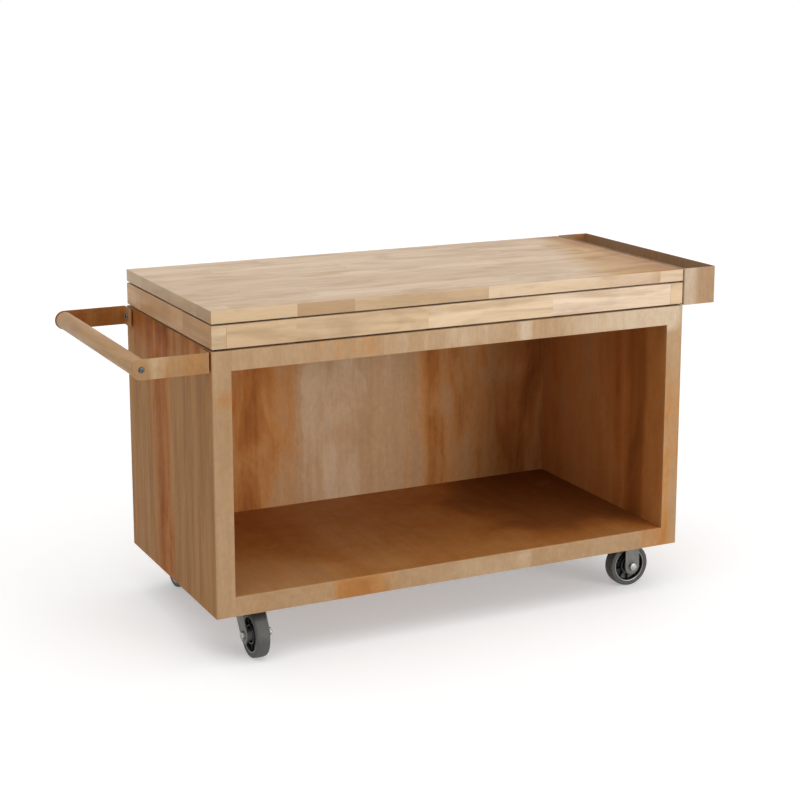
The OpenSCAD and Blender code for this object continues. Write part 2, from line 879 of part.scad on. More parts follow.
module swivel_fork() {
    cup_z = race_z - race_gap / 2;
    difference() {
        union() {
            fork_body(crown_z + fork_t, swivel_shoulder, crown_l, [trail, wheel_r]);
            translate([0, 0, cup_z]) mirror([0, 0, 1]) race_cup(cup_z - crown_z);
        }
        ball_groove();
        translate([0, 0, crown_z - eps]) cylinder(h = caster_h, r = kingpin_r + run_gap);
        axle_hole(trail);
    }
}

module swivel_fork_front() {
    color(zinc) at_swivel_front() swivel_fork();
}

module swivel_fork_back() {
    color(zinc) at_swivel_back() swivel_fork();
}

module swivel_balls() {
    for (i = [0:ball_count - 1]) rotate([0, 0, i * 360 / ball_count])
        translate([race_r, 0, race_z]) sphere(ball_r);
}

module swivel_balls_front() {
    color(bolt_steel) at_swivel_front() swivel_balls();
}

module swivel_balls_back() {
    color(bolt_steel) at_swivel_back() swivel_balls();
}

// Axle bolt through both legs, its head at the -Y side, and its nut as a second solid
module axle_fastener() {
    translate([0, -fork_out / 2, wheel_r]) rotate([-90, 0, 0])
        hex_bolt(axle_r, fork_out + axle_nut_h + bolt_end, axle_head_r, axle_head_h);
    translate([0, fork_out / 2, wheel_r]) rotate([-90, 0, 0]) difference() {
        cylinder(h = axle_nut_h, r = axle_head_r, $fn = 6);
        translate([0, 0, -eps]) cylinder(h = axle_nut_h + 2 * eps, r = axle_r + seat_gap);
    }
}

module axle_sleeve() {
    translate([0, -fork_in / 2, wheel_r]) rotate([-90, 0, 0]) tube(fork_in, sleeve_r, axle_r + seat_gap);
}

module fixed_axle_bolts() {
    color(bolt_steel) {
        at_fixed_front() axle_fastener();
        at_fixed_back() axle_fastener();
    }
}

module fixed_axle_sleeves() {
    color(bolt_steel) {
        at_fixed_front() axle_sleeve();
        at_fixed_back() axle_sleeve();
    }
}

module swivel_axle_bolt_front() {
    color(bolt_steel) at_swivel_front() at_swivel_axle() axle_fastener();
}

module swivel_axle_bolt_back() {
    color(bolt_steel) at_swivel_back() at_swivel_axle() axle_fastener();
}

module swivel_axle_sleeve_front() {
    color(bolt_steel) at_swivel_front() at_swivel_axle() axle_sleeve();
}

module swivel_axle_sleeve_back() {
    color(bolt_steel) at_swivel_back() at_swivel_axle() axle_sleeve();
}

// A piece turned round the axle, from a profile of radius against distance along the axle
module on_axle() {
    translate([0, 0, wheel_r]) rotate([-90, 0, 0]) rotate_extrude() children();
}

module tyre() {
    h = tyre_w / 2;
    c = tyre_chamfer;
    e = tyre_edge;
    r0 = rim_r + seat_gap;
    on_axle() polygon([
        [r0, -h + e], [r0 + e, -h], [wheel_r - c, -h], [wheel_r - e, -h + c], [wheel_r, -h + c + 3 * e],
        [wheel_r, h - c - 3 * e], [wheel_r - e, h - c], [wheel_r - c, h], [r0 + e, h], [r0, h - e]
    ]);
}

// One side of the wheel centre, as radius against distance from the middle plane: bush seat, web, ring
// round the hub, web again, recess wall and rim
module half_centre_outline() {
    web = web_t / 2;
    rim = rim_w / 2;
    polygon([
        [bush_r + seat_gap, 0], [rim_r, 0], [rim_r, rim - draft / 2], [rim_r - draft / 2, rim],
        [recess_r + draft / 2, rim], [recess_r, rim - draft], [recess_r - draft, web + draft],
        [recess_r - 2 * draft, web], [hub_ring_r + draft / 2, web], [hub_ring_r, web + draft],
        [hub_ring_r, ring_half_l - draft / 2], [hub_ring_r - draft / 2, ring_half_l],
        [hub_ring_r - hub_ring_t, ring_half_l], [hub_ring_r - hub_ring_t - draft / 2, web + draft],
        [boss_r + draft, web], [boss_r, web + draft], [boss_r - draft / 2, hub_l / 2],
        [bush_r + seat_gap, hub_l / 2]
    ]);
}

module rib() {
    h = 2 * (ring_half_l - rib_drop);
    translate([hub_ring_r - draft, -rib_t / 2, -h / 2]) cube([recess_r - hub_ring_r + draft, rib_t, h]);
}

module wheel_centre() {
    on_axle() {
        half_centre_outline();
        mirror([0, 1]) half_centre_outline();
    }
    for (i = [0:rib_count - 1]) translate([0, 0, wheel_r]) rotate([-90, 0, 0])
        rotate([0, 0, (i + 0.5) * 360 / rib_count]) rib();
}

module wheel_bush() {
    translate([0, -hub_l / 2, wheel_r]) rotate([-90, 0, 0]) tube(hub_l, bush_r, sleeve_r + run_gap);
}

module tyre_front_left() { color(rubber_grey) at_swivel_front() at_swivel_axle() tyre(); }
module tyre_back_left() { color(rubber_grey) at_swivel_back() at_swivel_axle() tyre(); }
module tyre_front_right() { color(rubber_grey) at_fixed_front() tyre(); }
module tyre_back_right() { color(rubber_grey) at_fixed_back() tyre(); }

module wheel_centre_front_left() { color(zinc) at_swivel_front() at_swivel_axle() wheel_centre(); }
module wheel_centre_back_left() { color(zinc) at_swivel_back() at_swivel_axle() wheel_centre(); }
module wheel_centre_front_right() { color(zinc) at_fixed_front() wheel_centre(); }
module wheel_centre_back_right() { color(zinc) at_fixed_back() wheel_centre(); }

module wheel_bush_front_left() { color("#b59a5a") at_swivel_front() at_swivel_axle() wheel_bush(); }
module wheel_bush_back_left() { color("#b59a5a") at_swivel_back() at_swivel_axle() wheel_bush(); }
module wheel_bush_front_right() { color("#b59a5a") at_fixed_front() wheel_bush(); }
module wheel_bush_back_right() { color("#b59a5a") at_fixed_back() wheel_bush(); }

side_panel_left();
side_panel_right();
top_panel();
floor_panel();
back_panel();
bay_liner_left();
bay_liner_right();
wall_stiffeners();
top_stiffeners();
floor_stiffener();
caster_rail_left();
caster_rail_right();
apron_front();
apron_back();
apron_left();
apron_right();
apron_dowels();
apron_battens();
worktop_board();
board_screws();
worktop_bolts();
planter_trough();
trough_bolts();
handle_strap_front();
handle_strap_back();
handle_bar();
handle_bar_bolts();
handle_side_bolts();
handle_backing_plates();
spacer_washers();
threaded_inserts();
caster_bolts();
caster_weld_nuts();
fixed_bracket_front();
fixed_bracket_back();
fixed_axle_bolts();
fixed_axle_sleeves();
swivel_plate_front();
swivel_plate_back();
kingpins();
swivel_fork_front();
swivel_balls_front();
swivel_axle_bolt_front();
swivel_axle_sleeve_front();
swivel_fork_back();
swivel_balls_back();
swivel_axle_bolt_back();
swivel_axle_sleeve_back();
tyre_front_left();
wheel_centre_front_left();
wheel_bush_front_left();
tyre_back_left();
wheel_centre_back_left();
wheel_bush_back_left();
tyre_front_right();
wheel_centre_front_right();
wheel_bush_front_right();
tyre_back_right();
wheel_centre_back_right();
wheel_bush_back_right();
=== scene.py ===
# Rolling prep table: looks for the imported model. The frame gives every size and place, in metres.
import math

import bmesh
import bpy
import numpy as np
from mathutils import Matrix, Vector


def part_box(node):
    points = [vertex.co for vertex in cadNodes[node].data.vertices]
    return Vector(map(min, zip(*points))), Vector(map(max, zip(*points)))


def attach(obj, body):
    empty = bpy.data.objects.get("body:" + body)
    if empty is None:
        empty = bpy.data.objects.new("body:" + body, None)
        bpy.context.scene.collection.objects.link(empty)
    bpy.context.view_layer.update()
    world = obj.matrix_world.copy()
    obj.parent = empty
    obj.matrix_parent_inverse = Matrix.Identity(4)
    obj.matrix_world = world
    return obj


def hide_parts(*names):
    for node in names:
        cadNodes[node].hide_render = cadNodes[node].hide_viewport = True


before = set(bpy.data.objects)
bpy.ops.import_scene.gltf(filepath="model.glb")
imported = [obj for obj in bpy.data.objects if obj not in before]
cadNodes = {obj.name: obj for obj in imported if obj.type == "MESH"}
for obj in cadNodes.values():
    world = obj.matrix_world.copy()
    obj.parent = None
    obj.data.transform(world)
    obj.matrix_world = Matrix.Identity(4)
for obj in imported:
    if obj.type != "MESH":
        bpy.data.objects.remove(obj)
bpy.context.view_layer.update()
print("frame loaded:", len(cadNodes), "nodes")


# Camera, first: the photograph's viewing angle
photoCamera = {
    "place": (-2.037, -4.234, 1.711),
    "yaw": 26.059,  # degrees to the right of straight ahead
    "pitch": 11.40,  # degrees below the horizon
    "focal": 1780.4 / 800,  # focal length over the picture's width
    "sensor": 36.0,
    "shift": -0.1,
}


def linked(name, data):
    made = bpy.data.objects.new(name, data)
    bpy.context.scene.collection.objects.link(made)
    return made


def makeCamera(look):
    data = bpy.data.cameras.new("photoCamera")
    data.sensor_width = look["sensor"]
    data.lens = look["sensor"] * look["focal"]
    data.shift_y = look["shift"]
    data.clip_end = 100
    camera = linked("photoCamera", data)
    camera.location = look["place"]
    camera.rotation_euler = (math.radians(90 - look["pitch"]), 0, math.radians(-look["yaw"]))
    bpy.context.scene.camera = camera


makeCamera(photoCamera)
print("camera set")


# Node trees: a small kit for building shaders and groups
class Tree:
    def __init__(self, tree):
        self.tree = tree

    def wire(self, sockets, values):
        # a value that is another node's socket is linked, and any other is set on the socket itself
        for name, value in values.items():
            if isinstance(value, bpy.types.NodeSocket):
                self.tree.links.new(value, sockets[name])
            else:
                sockets[name].default_value = value

    def node(self, kind, inputs=None, **settings):
        made = self.tree.nodes.new("ShaderNode" + kind)
        for name, value in settings.items():
            setattr(made, name, value)
        self.wire(made.inputs, inputs or {})
        return made

    def calc(self, operation, *values):
        return self.node("Math", dict(enumerate(values)), operation=operation).outputs[0]

    def plus(self, first, *others):
        for other in others:
            first = self.calc("ADD", first, other)
        return first

    def times(self, a, b):
        return self.calc("MULTIPLY", a, b)

    def vector(self, operation, *values):
        return self.node("VectorMath", dict(enumerate(values)), operation=operation).outputs[0]

    def stretched(self, vector, factors):
        return self.vector("MULTIPLY", vector, factors)

    def length(self, a):
        return self.node("VectorMath", {0: a}, operation="LENGTH").outputs["Value"]

    def parts(self, vector):
        return self.node("SeparateXYZ", {0: vector}).outputs

    def place(self):
        return self.node("TexCoord").outputs["Object"]

    def noise(self, vector, scale, detail=3.0, roughness=0.5, distortion=0.0):
        inputs = {"Vector": vector, "Scale": scale, "Detail": detail, "Roughness": roughness,
                  "Distortion": distortion}
        return self.node("TexNoise", inputs).outputs["Fac"]

    def fade(self, value, low, high, start=0.0, end=1.0):
        inputs = {"Value": value, "From Min": low, "From Max": high, "To Min": start, "To Max": end}
        return self.node("MapRange", inputs, interpolation_type="SMOOTHSTEP").outputs["Result"]

    def fades(self, noises, spans):  # one fade for each named noise and span
        return [self.fade(noises[key], *span) for key, span in spans.items()]

    def mix(self, factor, a, b, kind="RGBA", mode="MIX"):
        first, result = {"FLOAT": (2, 0), "VECTOR": (4, 1), "RGBA": (6, 2)}[kind]
        inputs = {0: factor, first: a, first + 1: b}
        return self.node("Mix", inputs, data_type=kind, blend_type=mode).outputs[result]

    def tinted(self, colour, tint, factor=1.0):
        return self.mix(factor, colour, tint, mode="MULTIPLY")

    def grey(self, value):
        return self.node("CombineColor", {0: value, 1: value, 2: value}).outputs[0]

    def ramp(self, value, stops):
        made = self.node("ValToRGB", {0: value})
        line = made.color_ramp
        while len(line.elements) < len(stops):
            line.elements.new(1.0)
        for element, (place, colour) in zip(line.elements, stops):
            element.position = place
            element.color = colour
        return made.outputs[0]

    def follow(self, value, start, end, stops):
        # a number that follows the stops, each (share of the way from start to end, amount). A ramp
        # holds no number below nothing, so the amounts, which run from -1 to 1, go through it as 0 to 1.
        share = self.node("MapRange", {"Value": value, "From Min": start, "From Max": end})
        lifted = [(s, (0.5 + v / 2,) * 3 + (1.0,)) for s, v in stops]
        return self.calc("MULTIPLY_ADD", self.ramp(share.outputs["Result"], lifted), 2.0, -1.0)


def makeGroup(name, inputs, outputs):
    # inputs and outputs are {label: kind of socket}
    group = bpy.data.node_groups.new(name, "ShaderNodeTree")
    for way, sockets in (("INPUT", inputs), ("OUTPUT", outputs)):
        for label, kind in sockets.items():
            group.interface.new_socket(label, in_out=way, socket_type="NodeSocket" + kind)
    given, result = [group.nodes.new("NodeGroup" + way) for way in ("Input", "Output")]
    return Tree(group), given.outputs, result.inputs


def clearedTree(owner):
    owner.use_nodes = True
    owner.node_tree.nodes.clear()
    return Tree(owner.node_tree)


def makeMaterial(name, build, **settings):
    # build(kit, place, ...) gives the shader's inputs by name, and the bump's height, distance, strength
    material = bpy.data.materials.new(name)
    kit = clearedTree(material)
    inputs, height, distance, strength = build(kit, kit.place(), **settings)
    bump = kit.node("Bump", {"Height": height, "Distance": distance, "Strength": strength})
    shader = kit.node("BsdfPrincipled", {**inputs, "Normal": bump.outputs[0]})
    kit.node("OutputMaterial", {"Surface": shader.outputs[0]})
    return material


def toned(red, green, blue, alpha=1.0):
    # a colour as it shows on screen, 0 to 255, turned into the linear values that sockets take
    levels = [v / 255 for v in (red, green, blue)]
    return tuple(v / 12.92 if v <= 0.04045 else ((v + 0.055) / 1.055) ** 2.4 for v in levels) + (alpha,)


white = (1.0, 1.0, 1.0, 1.0)
surfaceOutputs = {"Colour": "Color", "Roughness": "Float", "Height": "Float"}

# Shared effect: weathered steel, with streaks that run down the sheet
patinaLook = {
    "pale": toned(202, 179, 151),
    "tan": toned(179, 146, 111),
    "ochre": toned(183, 131, 80),
    "rust": toned(166, 106, 54),
    "umber": toned(126, 76, 38),
    "veinDark": (0.83, 0.76, 0.67, 1.0),
    "veinLight": (1.14, 1.18, 1.25, 1.0),
    # each noise's scale, detail, roughness and distortion
    "band": (3.2, 3, 0.55, 0.4),
    "streak": (34, 4, 0.62, 0.3),
    "fibre": (210, 3, 0.6),
    "vein": (26, 5, 0.72, 0.25),
    "mottle": (46, 6, 0.62),
    "cloud": (7, 4, 0.6),
    "patch": (12, 4, 0.58, 0.6),
    "speck": (150, 4, 0.6),
    "patchRun": (1.0, 1.0, 0.3),
    "speckRun": (1.0, 1.0, 0.45),
    "shares": {"band": 0.9, "streak": 0.35, "mottle": 0.10, "patch": 0.75},  # in the rust's level
    "middle": 1.05,
    "relief": {"mottle": 0.6, "fibre": 0.4},
    # ranges of the rust's level, of the veins' noise, and of the noises that let an ochre glow show
    "rusting": (0.18, 0.82),
    "paling": (-0.28, 0.08),
    "veining": (0.34, 0.66),
    "glowing": {"cloud": (0.56, 0.74), "streak": (0.44, 0.62)},
    "glowLevel": (-0.50, -0.20),
    "glow": 0.40,
    # from and to of a noise, and the brightness or roughness that these turn into
    "lines": {"fibre": (0.25, 0.75, 0.985, 1.015), "streak": (0.2, 0.8, -0.06, 0.06),
              "mottle": (0.3, 0.7, -0.035, 0.035), "speck": (0.32, 0.68, -0.04, 0.05)},
    "rough": (0.3, 0.7, 0.44, 0.58),
    "rustRough": (0.2, 0.9, 0.0, 0.08),
}


def buildPatinaGroup(look):
    # Noises stretched along Run give bands, streaks, fibres and veins, plain ones mottles and specks. The
    # rust's level is the shares' sum less its middle, times Contrast, plus Rust. It leads from pale, for
    # a level below nothing, through tan, ochre and rust to umber.
    kit, given, result = makeGroup(
        "streakedPatina", {"Position": "Vector", "Run": "Vector", "Rust": "Float", "Contrast": "Float",
                           "Veins": "Float", "Tint": "Color"}, surfaceOutputs)
    place = given["Position"]
    along = kit.stretched(place, given["Run"])
    noises = {key: kit.noise(along, *look[key]) for key in ("band", "streak", "fibre", "vein")}
    noises.update({key: kit.noise(place, *look[key]) for key in ("mottle", "cloud")})
    for key in ("patch", "speck"):
        noises[key] = kit.noise(kit.stretched(place, look[key + "Run"]), *look[key])
    mixed, relief = [kit.plus(*[kit.times(noises[key], share) for key, share in look[part].items()])
                     for part in ("shares", "relief")]
    level = kit.plus(kit.times(kit.calc("SUBTRACT", mixed, look["middle"]), given["Contrast"]), given["Rust"])
    rusty = kit.fade(level, *look["rusting"])
    base = kit.ramp(rusty, [
        (0.0, look["tan"]), (0.42, look["ochre"]), (0.72, look["rust"]), (1.0, look["umber"])
    ])
    base = kit.mix(kit.fade(level, *look["paling"]), look["pale"], base)
    glow = kit.times(kit.times(*kit.fades(noises, look["glowing"])), kit.fade(level, *look["glowLevel"]))
    warmed = kit.mix(kit.times(glow, look["glow"]), base, look["ochre"])
    lined = kit.tinted(warmed, kit.grey(kit.plus(*kit.fades(noises, look["lines"]))))
    veins = kit.mix(kit.fade(noises["vein"], *look["veining"]), look["veinDark"], look["veinLight"])
    kit.wire(result, {
        "Colour": kit.tinted(kit.mix(given["Veins"], lined, kit.tinted(lined, veins)), given["Tint"]),
        "Roughness": kit.plus(kit.fade(noises["mottle"], *look["rough"]),
                              kit.fade(rusty, *look["rustRough"])),
        "Height": relief,
    })
    return kit.tree


# The steel frame round the bay, seen from the front: four sheets that weathered as one face, so one
# field of rust, by place, serves all their front faces
frontLook = {
    # depths past which a point is no longer on the face, and the frame's width and height. Each sheet's
    # stops are (share of the way along it, amount of rust).
    "face": (-0.3290, -0.3262),
    "span": (-0.627, 0.723),
    "rise": (0.130, 0.800),
    "topRail": [(0.0, 0.20), (0.03, 0.12), (0.05, 0.08), (0.19, 0.08), (0.205, 0.20), (0.23, 0.14),
                (0.25, 0.34), (0.275, 0.38), (0.290, 0.32), (0.312, 0.46), (0.330, 0.42), (0.345, 0.20),
                (0.40, 0.19), (0.44, -0.02), (0.58, -0.10), (0.60, -0.06), (0.615, 0.0), (0.622, -0.22),
                (0.65, -0.20), (0.658, 0.10), (0.69, 0.10), (0.71, 0.0), (0.77, -0.09), (0.84, -0.16),
                (0.88, -0.55), (0.93, -0.75), (0.96, -0.40), (0.985, -0.04), (1.0, 0.06)],
    "bottomRail": [(0.0, 0.20), (0.10, 0.21), (0.226, 0.18), (0.242, 0.48), (0.29, 0.51), (0.315, 0.48),
                   (0.35, 0.34), (0.40, 0.10), (0.50, -0.02), (0.60, -0.02), (0.655, -0.08), (0.66, 0.18),
                   (0.70, 0.20), (0.75, 0.24), (0.80, 0.0), (0.90, 0.05), (0.915, 0.34), (0.96, 0.42),
                   (1.0, 0.36)],
    "leftStile": [(0.0, 0.20), (0.45, 0.20), (0.70, 0.18), (0.76, 0.24), (0.80, 0.42), (0.825, 0.46),
                  (0.85, 0.34), (0.89, 0.20), (1.0, 0.14)],
    "rightStile": [(0.0, 0.40), (0.25, 0.38), (0.60, 0.33), (0.85, 0.16), (1.0, 0.06)],
    "topMeeting": (0.72, 0.765),  # heights over which the stiles' rust turns into the rails'
    "bottomMeeting": (0.165, 0.215),
    "wander": 0.03,
    "offset": (3.1, 0.0, 0.0),
    # painted shade: the front faces darken towards the bottom by this colour, which fades out between the two
    # heights below
    "low": (0.91, 0.89, 0.86, 1.0),
    "paintedShadeFade": (0.60, 0.79),
    "veins": 0.25,
}


def buildFrontGroup(look):
    # rails follow their stops along X, stiles along Z, and the two meet softly where a rail meets a stile
    kit, given, result = makeGroup("frontFrameRust", {"Position": "Vector"},
                                   {"Rust": "Float", "Mask": "Float", "Shade": "Color"})
    x, y, z = kit.parts(given["Position"])
    wander = kit.noise(kit.stretched(given["Position"], (2.0, 2.0, 9.0)), 1.0, 2)
    shifted = kit.plus(x, kit.times(kit.calc("SUBTRACT", wander, 0.5), look["wander"]))
    bottom, top = [kit.follow(shifted, *look["span"], look[key]) for key in ("bottomRail", "topRail")]
    left, right = [kit.follow(z, *look["rise"], look[key]) for key in ("leftStile", "rightStile")]
    rails = kit.mix(kit.calc("GREATER_THAN", z, sum(look["rise"]) / 2), bottom, top, "FLOAT")
    stiles = kit.mix(kit.calc("GREATER_THAN", x, 0.0), left, right, "FLOAT")
    near = kit.calc("MAXIMUM", kit.fade(z, *look["topMeeting"]),
                    kit.fade(z, *look["bottomMeeting"], 1.0, 0.0))
    kit.wire(result, {
        "Rust": kit.mix(near, stiles, rails, "FLOAT"),
        "Mask": kit.fade(y, *look["face"], 1.0, 0.0),
        # painted shade: the front faces are darker towards the bottom
        "Shade": kit.mix(kit.fade(z, *look["paintedShadeFade"]), look["low"], white),
    })
    return kit.tree


# Shared effect: pale laminated wood, read from three UV maps
woodLook = {
    "pale": toned(224, 198, 162),
    "plain": toned(208, 178, 140),
    "brown": toned(182, 148, 110),
    "pink": (1.0, 1.01, 1.14, 1.0),
    "warming": (0.82, 0.66, 0.38, 1.0),
    "warm": (0.54, 0.28, 0.04, 1.0),
    "fibreDark": (0.80, 0.72, 0.62, 1.0),
    "shadow": toned(26, 13, 6),
    # each noise's stretch along and across the stave, and its detail, roughness and distortion
    "figure": ((3.0, 30.0, 1.0), 4, 0.55, 0.9),
    "smear": ((7.0, 14.0, 1.0), 3, 0.5, 0.4),
    "fibre": ((26.0, 620.0, 1.0), 3, 0.6),
    "pore": ((130.0, 1500.0, 1.0), 2, 0.5),
    "jump": (9.0, 5.0, 7.0),  # how far each stave's grain lies from the next one's
    # from and to of a noise, and the brightness, brown or fibre colour that these add
    "shading": {"figure": (0.28, 0.72, 0.04, -0.07), "smear": (0.42, 0.72, 0.02, -0.07)},
    "browning": {"figure": (0.46, 0.76, 0.0, 0.55), "smear": (0.48, 0.74, 0.0, 0.62)},
    "lining": {"fibre": (0.45, 0.75, 0.0, 0.42), "pore": (0.64, 0.76, 0.0, 0.45)},
    "rough": (0.3, 0.7, 0.42, 0.52),
    # a joint's width at a stave's end and side, as shares of the stave, and how dark and deep it is
    "jointEnd": (0.0, 0.0022, 1.0, 0.0),
    "jointSide": (0.0, 0.014, 0.6, 0.0),
    "jointDark": 0.4,
    "relief": {"fibre": 0.5, "joint": 0.6},
    # the warm zone: how its line wanders, how it deepens past the line, and how it ends by the trough
    "warmStretch": (3.0, 22.0, 1.0),
    "warmWander": 0.13,
    "warmSpread": (-0.04, 0.22, [(0.0, 0.0), (0.2, 0.24), (0.4, 0.48), (0.7, 0.62), (1.0, 0.9)]),
    "warmEnd": (0.61, 0.71, 0.0, 0.95),
    "specular": 0.3,
    "bump": (0.0003, 0.3),
}


def buildWoodGroup(look):
    # Each stave has its own number, from the whole part of its stave coordinates, and its own tone and
    # hue; fine fibres run along it, and the joints between staves are a hair darker
    kit, given, result = makeGroup(
        "laminatedWood", {"Grain": "Vector", "Stave": "Vector", "Tone": "Vector", "Warmth": "Float",
                          "Figure": "Float", "Tint": "Color"}, surfaceOutputs)
    number = kit.vector("FLOOR", given["Stave"])
    chance = kit.node("TexWhiteNoise", {"Vector": number}, noise_dimensions="3D")
    tone, hue, _ = kit.parts(given["Tone"])
    place = kit.vector("ADD", given["Grain"], kit.stretched(chance.outputs["Color"], look["jump"]))
    noises = {key: kit.noise(kit.stretched(place, look[key][0]), 1.0, *look[key][1:])
              for key in ("figure", "smear", "fibre", "pore")}
    base = kit.ramp(tone, [(0.0, look["brown"]), (0.5, look["plain"]), (1.0, look["pale"])])
    # a tone below nothing turns the wood into the shadow colour: painted shade, used for the tongues deep in
    # the gaps
    base = kit.mix(kit.fade(tone, -1.0, -0.5), look["shadow"], base)
    base = kit.mix(hue, base, kit.tinted(base, look["pink"]))
    depth = kit.plus(*kit.fades(noises, look["shading"]))
    base = kit.tinted(base, kit.grey(kit.calc("MULTIPLY_ADD", depth, given["Figure"], 1.0)))
    for share in kit.fades(noises, look["browning"]):
        base = kit.mix(share, base, look["brown"])
    for share in kit.fades(noises, look["lining"]):
        base = kit.tinted(base, look["fibreDark"], share)
    split = kit.parts(kit.vector("FRACTION", given["Stave"]))
    joint = kit.calc("MAXIMUM", *[kit.fade(kit.calc("PINGPONG", split[i], 0.5), *look[key])
                                  for i, key in enumerate(("jointEnd", "jointSide"))])
    jointed = kit.tinted(base, look["fibreDark"], kit.times(joint, look["jointDark"]))
    warmth = kit.ramp(given["Warmth"], [(0.0, white), (0.45, look["warming"]), (1.0, look["warm"])])
    kit.wire(result, {
        "Colour": kit.tinted(kit.tinted(jointed, warmth), given["Tint"]),
        "Roughness": kit.fade(noises["figure"], *look["rough"]),
        "Height": kit.calc("SUBTRACT", kit.times(noises["fibre"], look["relief"]["fibre"]),
                           kit.times(joint, look["relief"]["joint"])),
    })
    return kit.tree


patinaGroup = buildPatinaGroup(patinaLook)
frontGroup = buildFrontGroup(frontLook)
woodGroup = buildWoodGroup(woodLook)


def pastFace(kit, place, face):
    # nothing on a left face at that place along X, and all a millimetre to its right
    return kit.fade(kit.parts(place)[0], face + 0.0004, face + 0.001)


steelLook = {
    "upright": (1.0, 1.0, 0.07),
    "plainTint": (1.02, 1.0, 0.955, 1.0),
    "wanderRun": (2.0, 2.0, 5.0),
    "wanderScale": 1.6,
    "bandWander": 0.03,
    "patchEdge": (0.3, 1.0),  # from where to where a patch fades, as a share of its reach
    "specular": 0.06,
    "bump": (0.0004, 0.35),
}


def steelSurface(kit, place, offset, rust, contrast=1.0, run=steelLook["upright"], tint=(1.0, 1.0, 1.0),
                 bands=None, inner=None, patches=(), front=False, gloss=0.0, paintedShadeFace=None, veins=0.25):
    # offset moves the pattern. bands is (axis, from, to, stops) and adds rust along that axis, up to the
    # place inner along Y where it is given; each patch is (centre, reach, amount) and adds rust round a
    # place. front gives the front faces their own field. Where paintedShadeFace, a place along X, is given,
    # only the face there has the tint, as painted shade on top of its own colour, and the others are plain.
    wander = kit.noise(kit.stretched(place, steelLook["wanderRun"]), steelLook["wanderScale"])
    wander = kit.calc("SUBTRACT", wander, 0.5)
    amount = rust
    if bands:
        axis, start, end, stops = bands
        sides = kit.parts(place)
        along = kit.plus(sides[axis], kit.times(wander, steelLook["bandWander"]))
        amount = kit.follow(along, start, end, stops)
        if inner:
            amount = kit.times(amount, kit.fade(sides[1], inner, inner + 0.001, 1.0, 0.0))
        amount = kit.plus(amount, rust)
    for centre, reach, extra in patches:
        away = kit.length(kit.vector("DIVIDE", kit.vector("SUBTRACT", place, centre), reach))
        amount = kit.plus(amount, kit.fade(kit.plus(away, wander), *steelLook["patchEdge"], extra, 0.0))
    moved = kit.vector("ADD", place, offset)
    colour = tuple(tint) + (1.0,)
    if paintedShadeFace:
        colour = kit.mix(pastFace(kit, place, paintedShadeFace), colour, steelLook["plainTint"])
    if front:
        field = kit.node("Group", {"Position": place}, node_tree=frontGroup).outputs
        mask = field["Mask"]
        there = kit.vector("ADD", place, frontLook["offset"])
        moved = kit.mix(mask, moved, there, "VECTOR")
        amount = kit.mix(mask, amount, field["Rust"], "FLOAT")
        # the front faces take the field's painted shade, darker towards the bottom
        colour = kit.mix(mask, colour, field["Shade"])
        veins = kit.mix(mask, veins, frontLook["veins"], "FLOAT")
    made = kit.node("Group", {"Position": moved, "Run": run, "Rust": amount, "Contrast": contrast,
                              "Veins": veins, "Tint": colour}, node_tree=patinaGroup).outputs
    inputs = {"Base Color": made["Colour"], "Roughness": kit.calc("SUBTRACT", made["Roughness"], gloss),
              "Specular IOR Level": steelLook["specular"]}
    return inputs, made["Height"], *steelLook["bump"]


def woodSurface(kit, place, tint=(1.0, 1.0, 1.0), warmLine=None, paintedLeftShade=None, figure=1.8):
    # warmLine is (place along X at the table's middle, lean of the line across the depth, height from
    # which it counts): to its right the wood is redder. paintedLeftShade is (place along X, colour): at
    # that place, which is the piece's left face, the wood has that colour over its own, as painted shade
    # for that side
    maps = {label: kit.node("UVMap", uv_map=label.lower()).outputs[0] for label in ("Grain", "Stave", "Tone")}
    warmth, colour = 0.0, tuple(tint) + (1.0,)
    if warmLine:
        start, lean, height = warmLine
        x, y, z = kit.parts(place)
        cloud = kit.noise(kit.stretched(place, woodLook["warmStretch"]), 1.0)
        past = kit.calc("SUBTRACT", x, kit.calc("MULTIPLY_ADD", y, lean, start))
        past = kit.plus(past, kit.times(kit.calc("SUBTRACT", cloud, 0.5), woodLook["warmWander"]))
        spreading = kit.follow(past, *woodLook["warmSpread"])
        warmth = kit.calc("MAXIMUM", spreading, kit.fade(x, *woodLook["warmEnd"]))
        warmth = kit.times(warmth, kit.fade(z, height - 0.0012, height))
    if paintedLeftShade:
        colour = kit.mix(pastFace(kit, place, paintedLeftShade[0]), paintedLeftShade[1], colour)
    made = kit.node("Group", {**maps, "Warmth": warmth, "Figure": figure, "Tint": colour},
                    node_tree=woodGroup).outputs
    inputs = {"Base Color": made["Colour"], "Roughness": made["Roughness"],
              "Specular IOR Level": woodLook["specular"]}
    return inputs, made["Height"], *woodLook["bump"]


def metalSurface(kit, place, colour, rough, metallic, spread, scale):
    # plated or turned steel: the tone and the roughness wander a little, and a fine grain lies on top
    cloud = kit.noise(place, scale, 5, 0.6)
    light = tuple(min(1.0, c * (1 + spread * 3)) for c in colour[:3]) + (1.0,)
    dark = tuple(c * (1 - spread * 3) for c in colour[:3]) + (1.0,)
    inputs = {"Base Color": kit.mix(kit.fade(cloud, 0.3, 0.7), dark, light), "Metallic": metallic,
              "Roughness": kit.fade(cloud, 0.3, 0.7, rough - spread, rough + spread)}
    return inputs, kit.noise(place, scale * 14, 3, 0.6), 0.0002, 0.25


def rubberSurface(kit, place, colour, rough):
    cloud, grain = kit.noise(place, 60, 4, 0.6), kit.noise(place, 900, 3, 0.6)
    light = tuple(c * 1.25 for c in colour[:3]) + (1.0,)
    inputs = {"Base Color": kit.mix(kit.fade(cloud, 0.35, 0.7), colour, light),
              "Roughness": kit.fade(grain, 0.3, 0.7, rough - 0.06, rough + 0.06)}
    return inputs, grain, 0.0003, 0.4


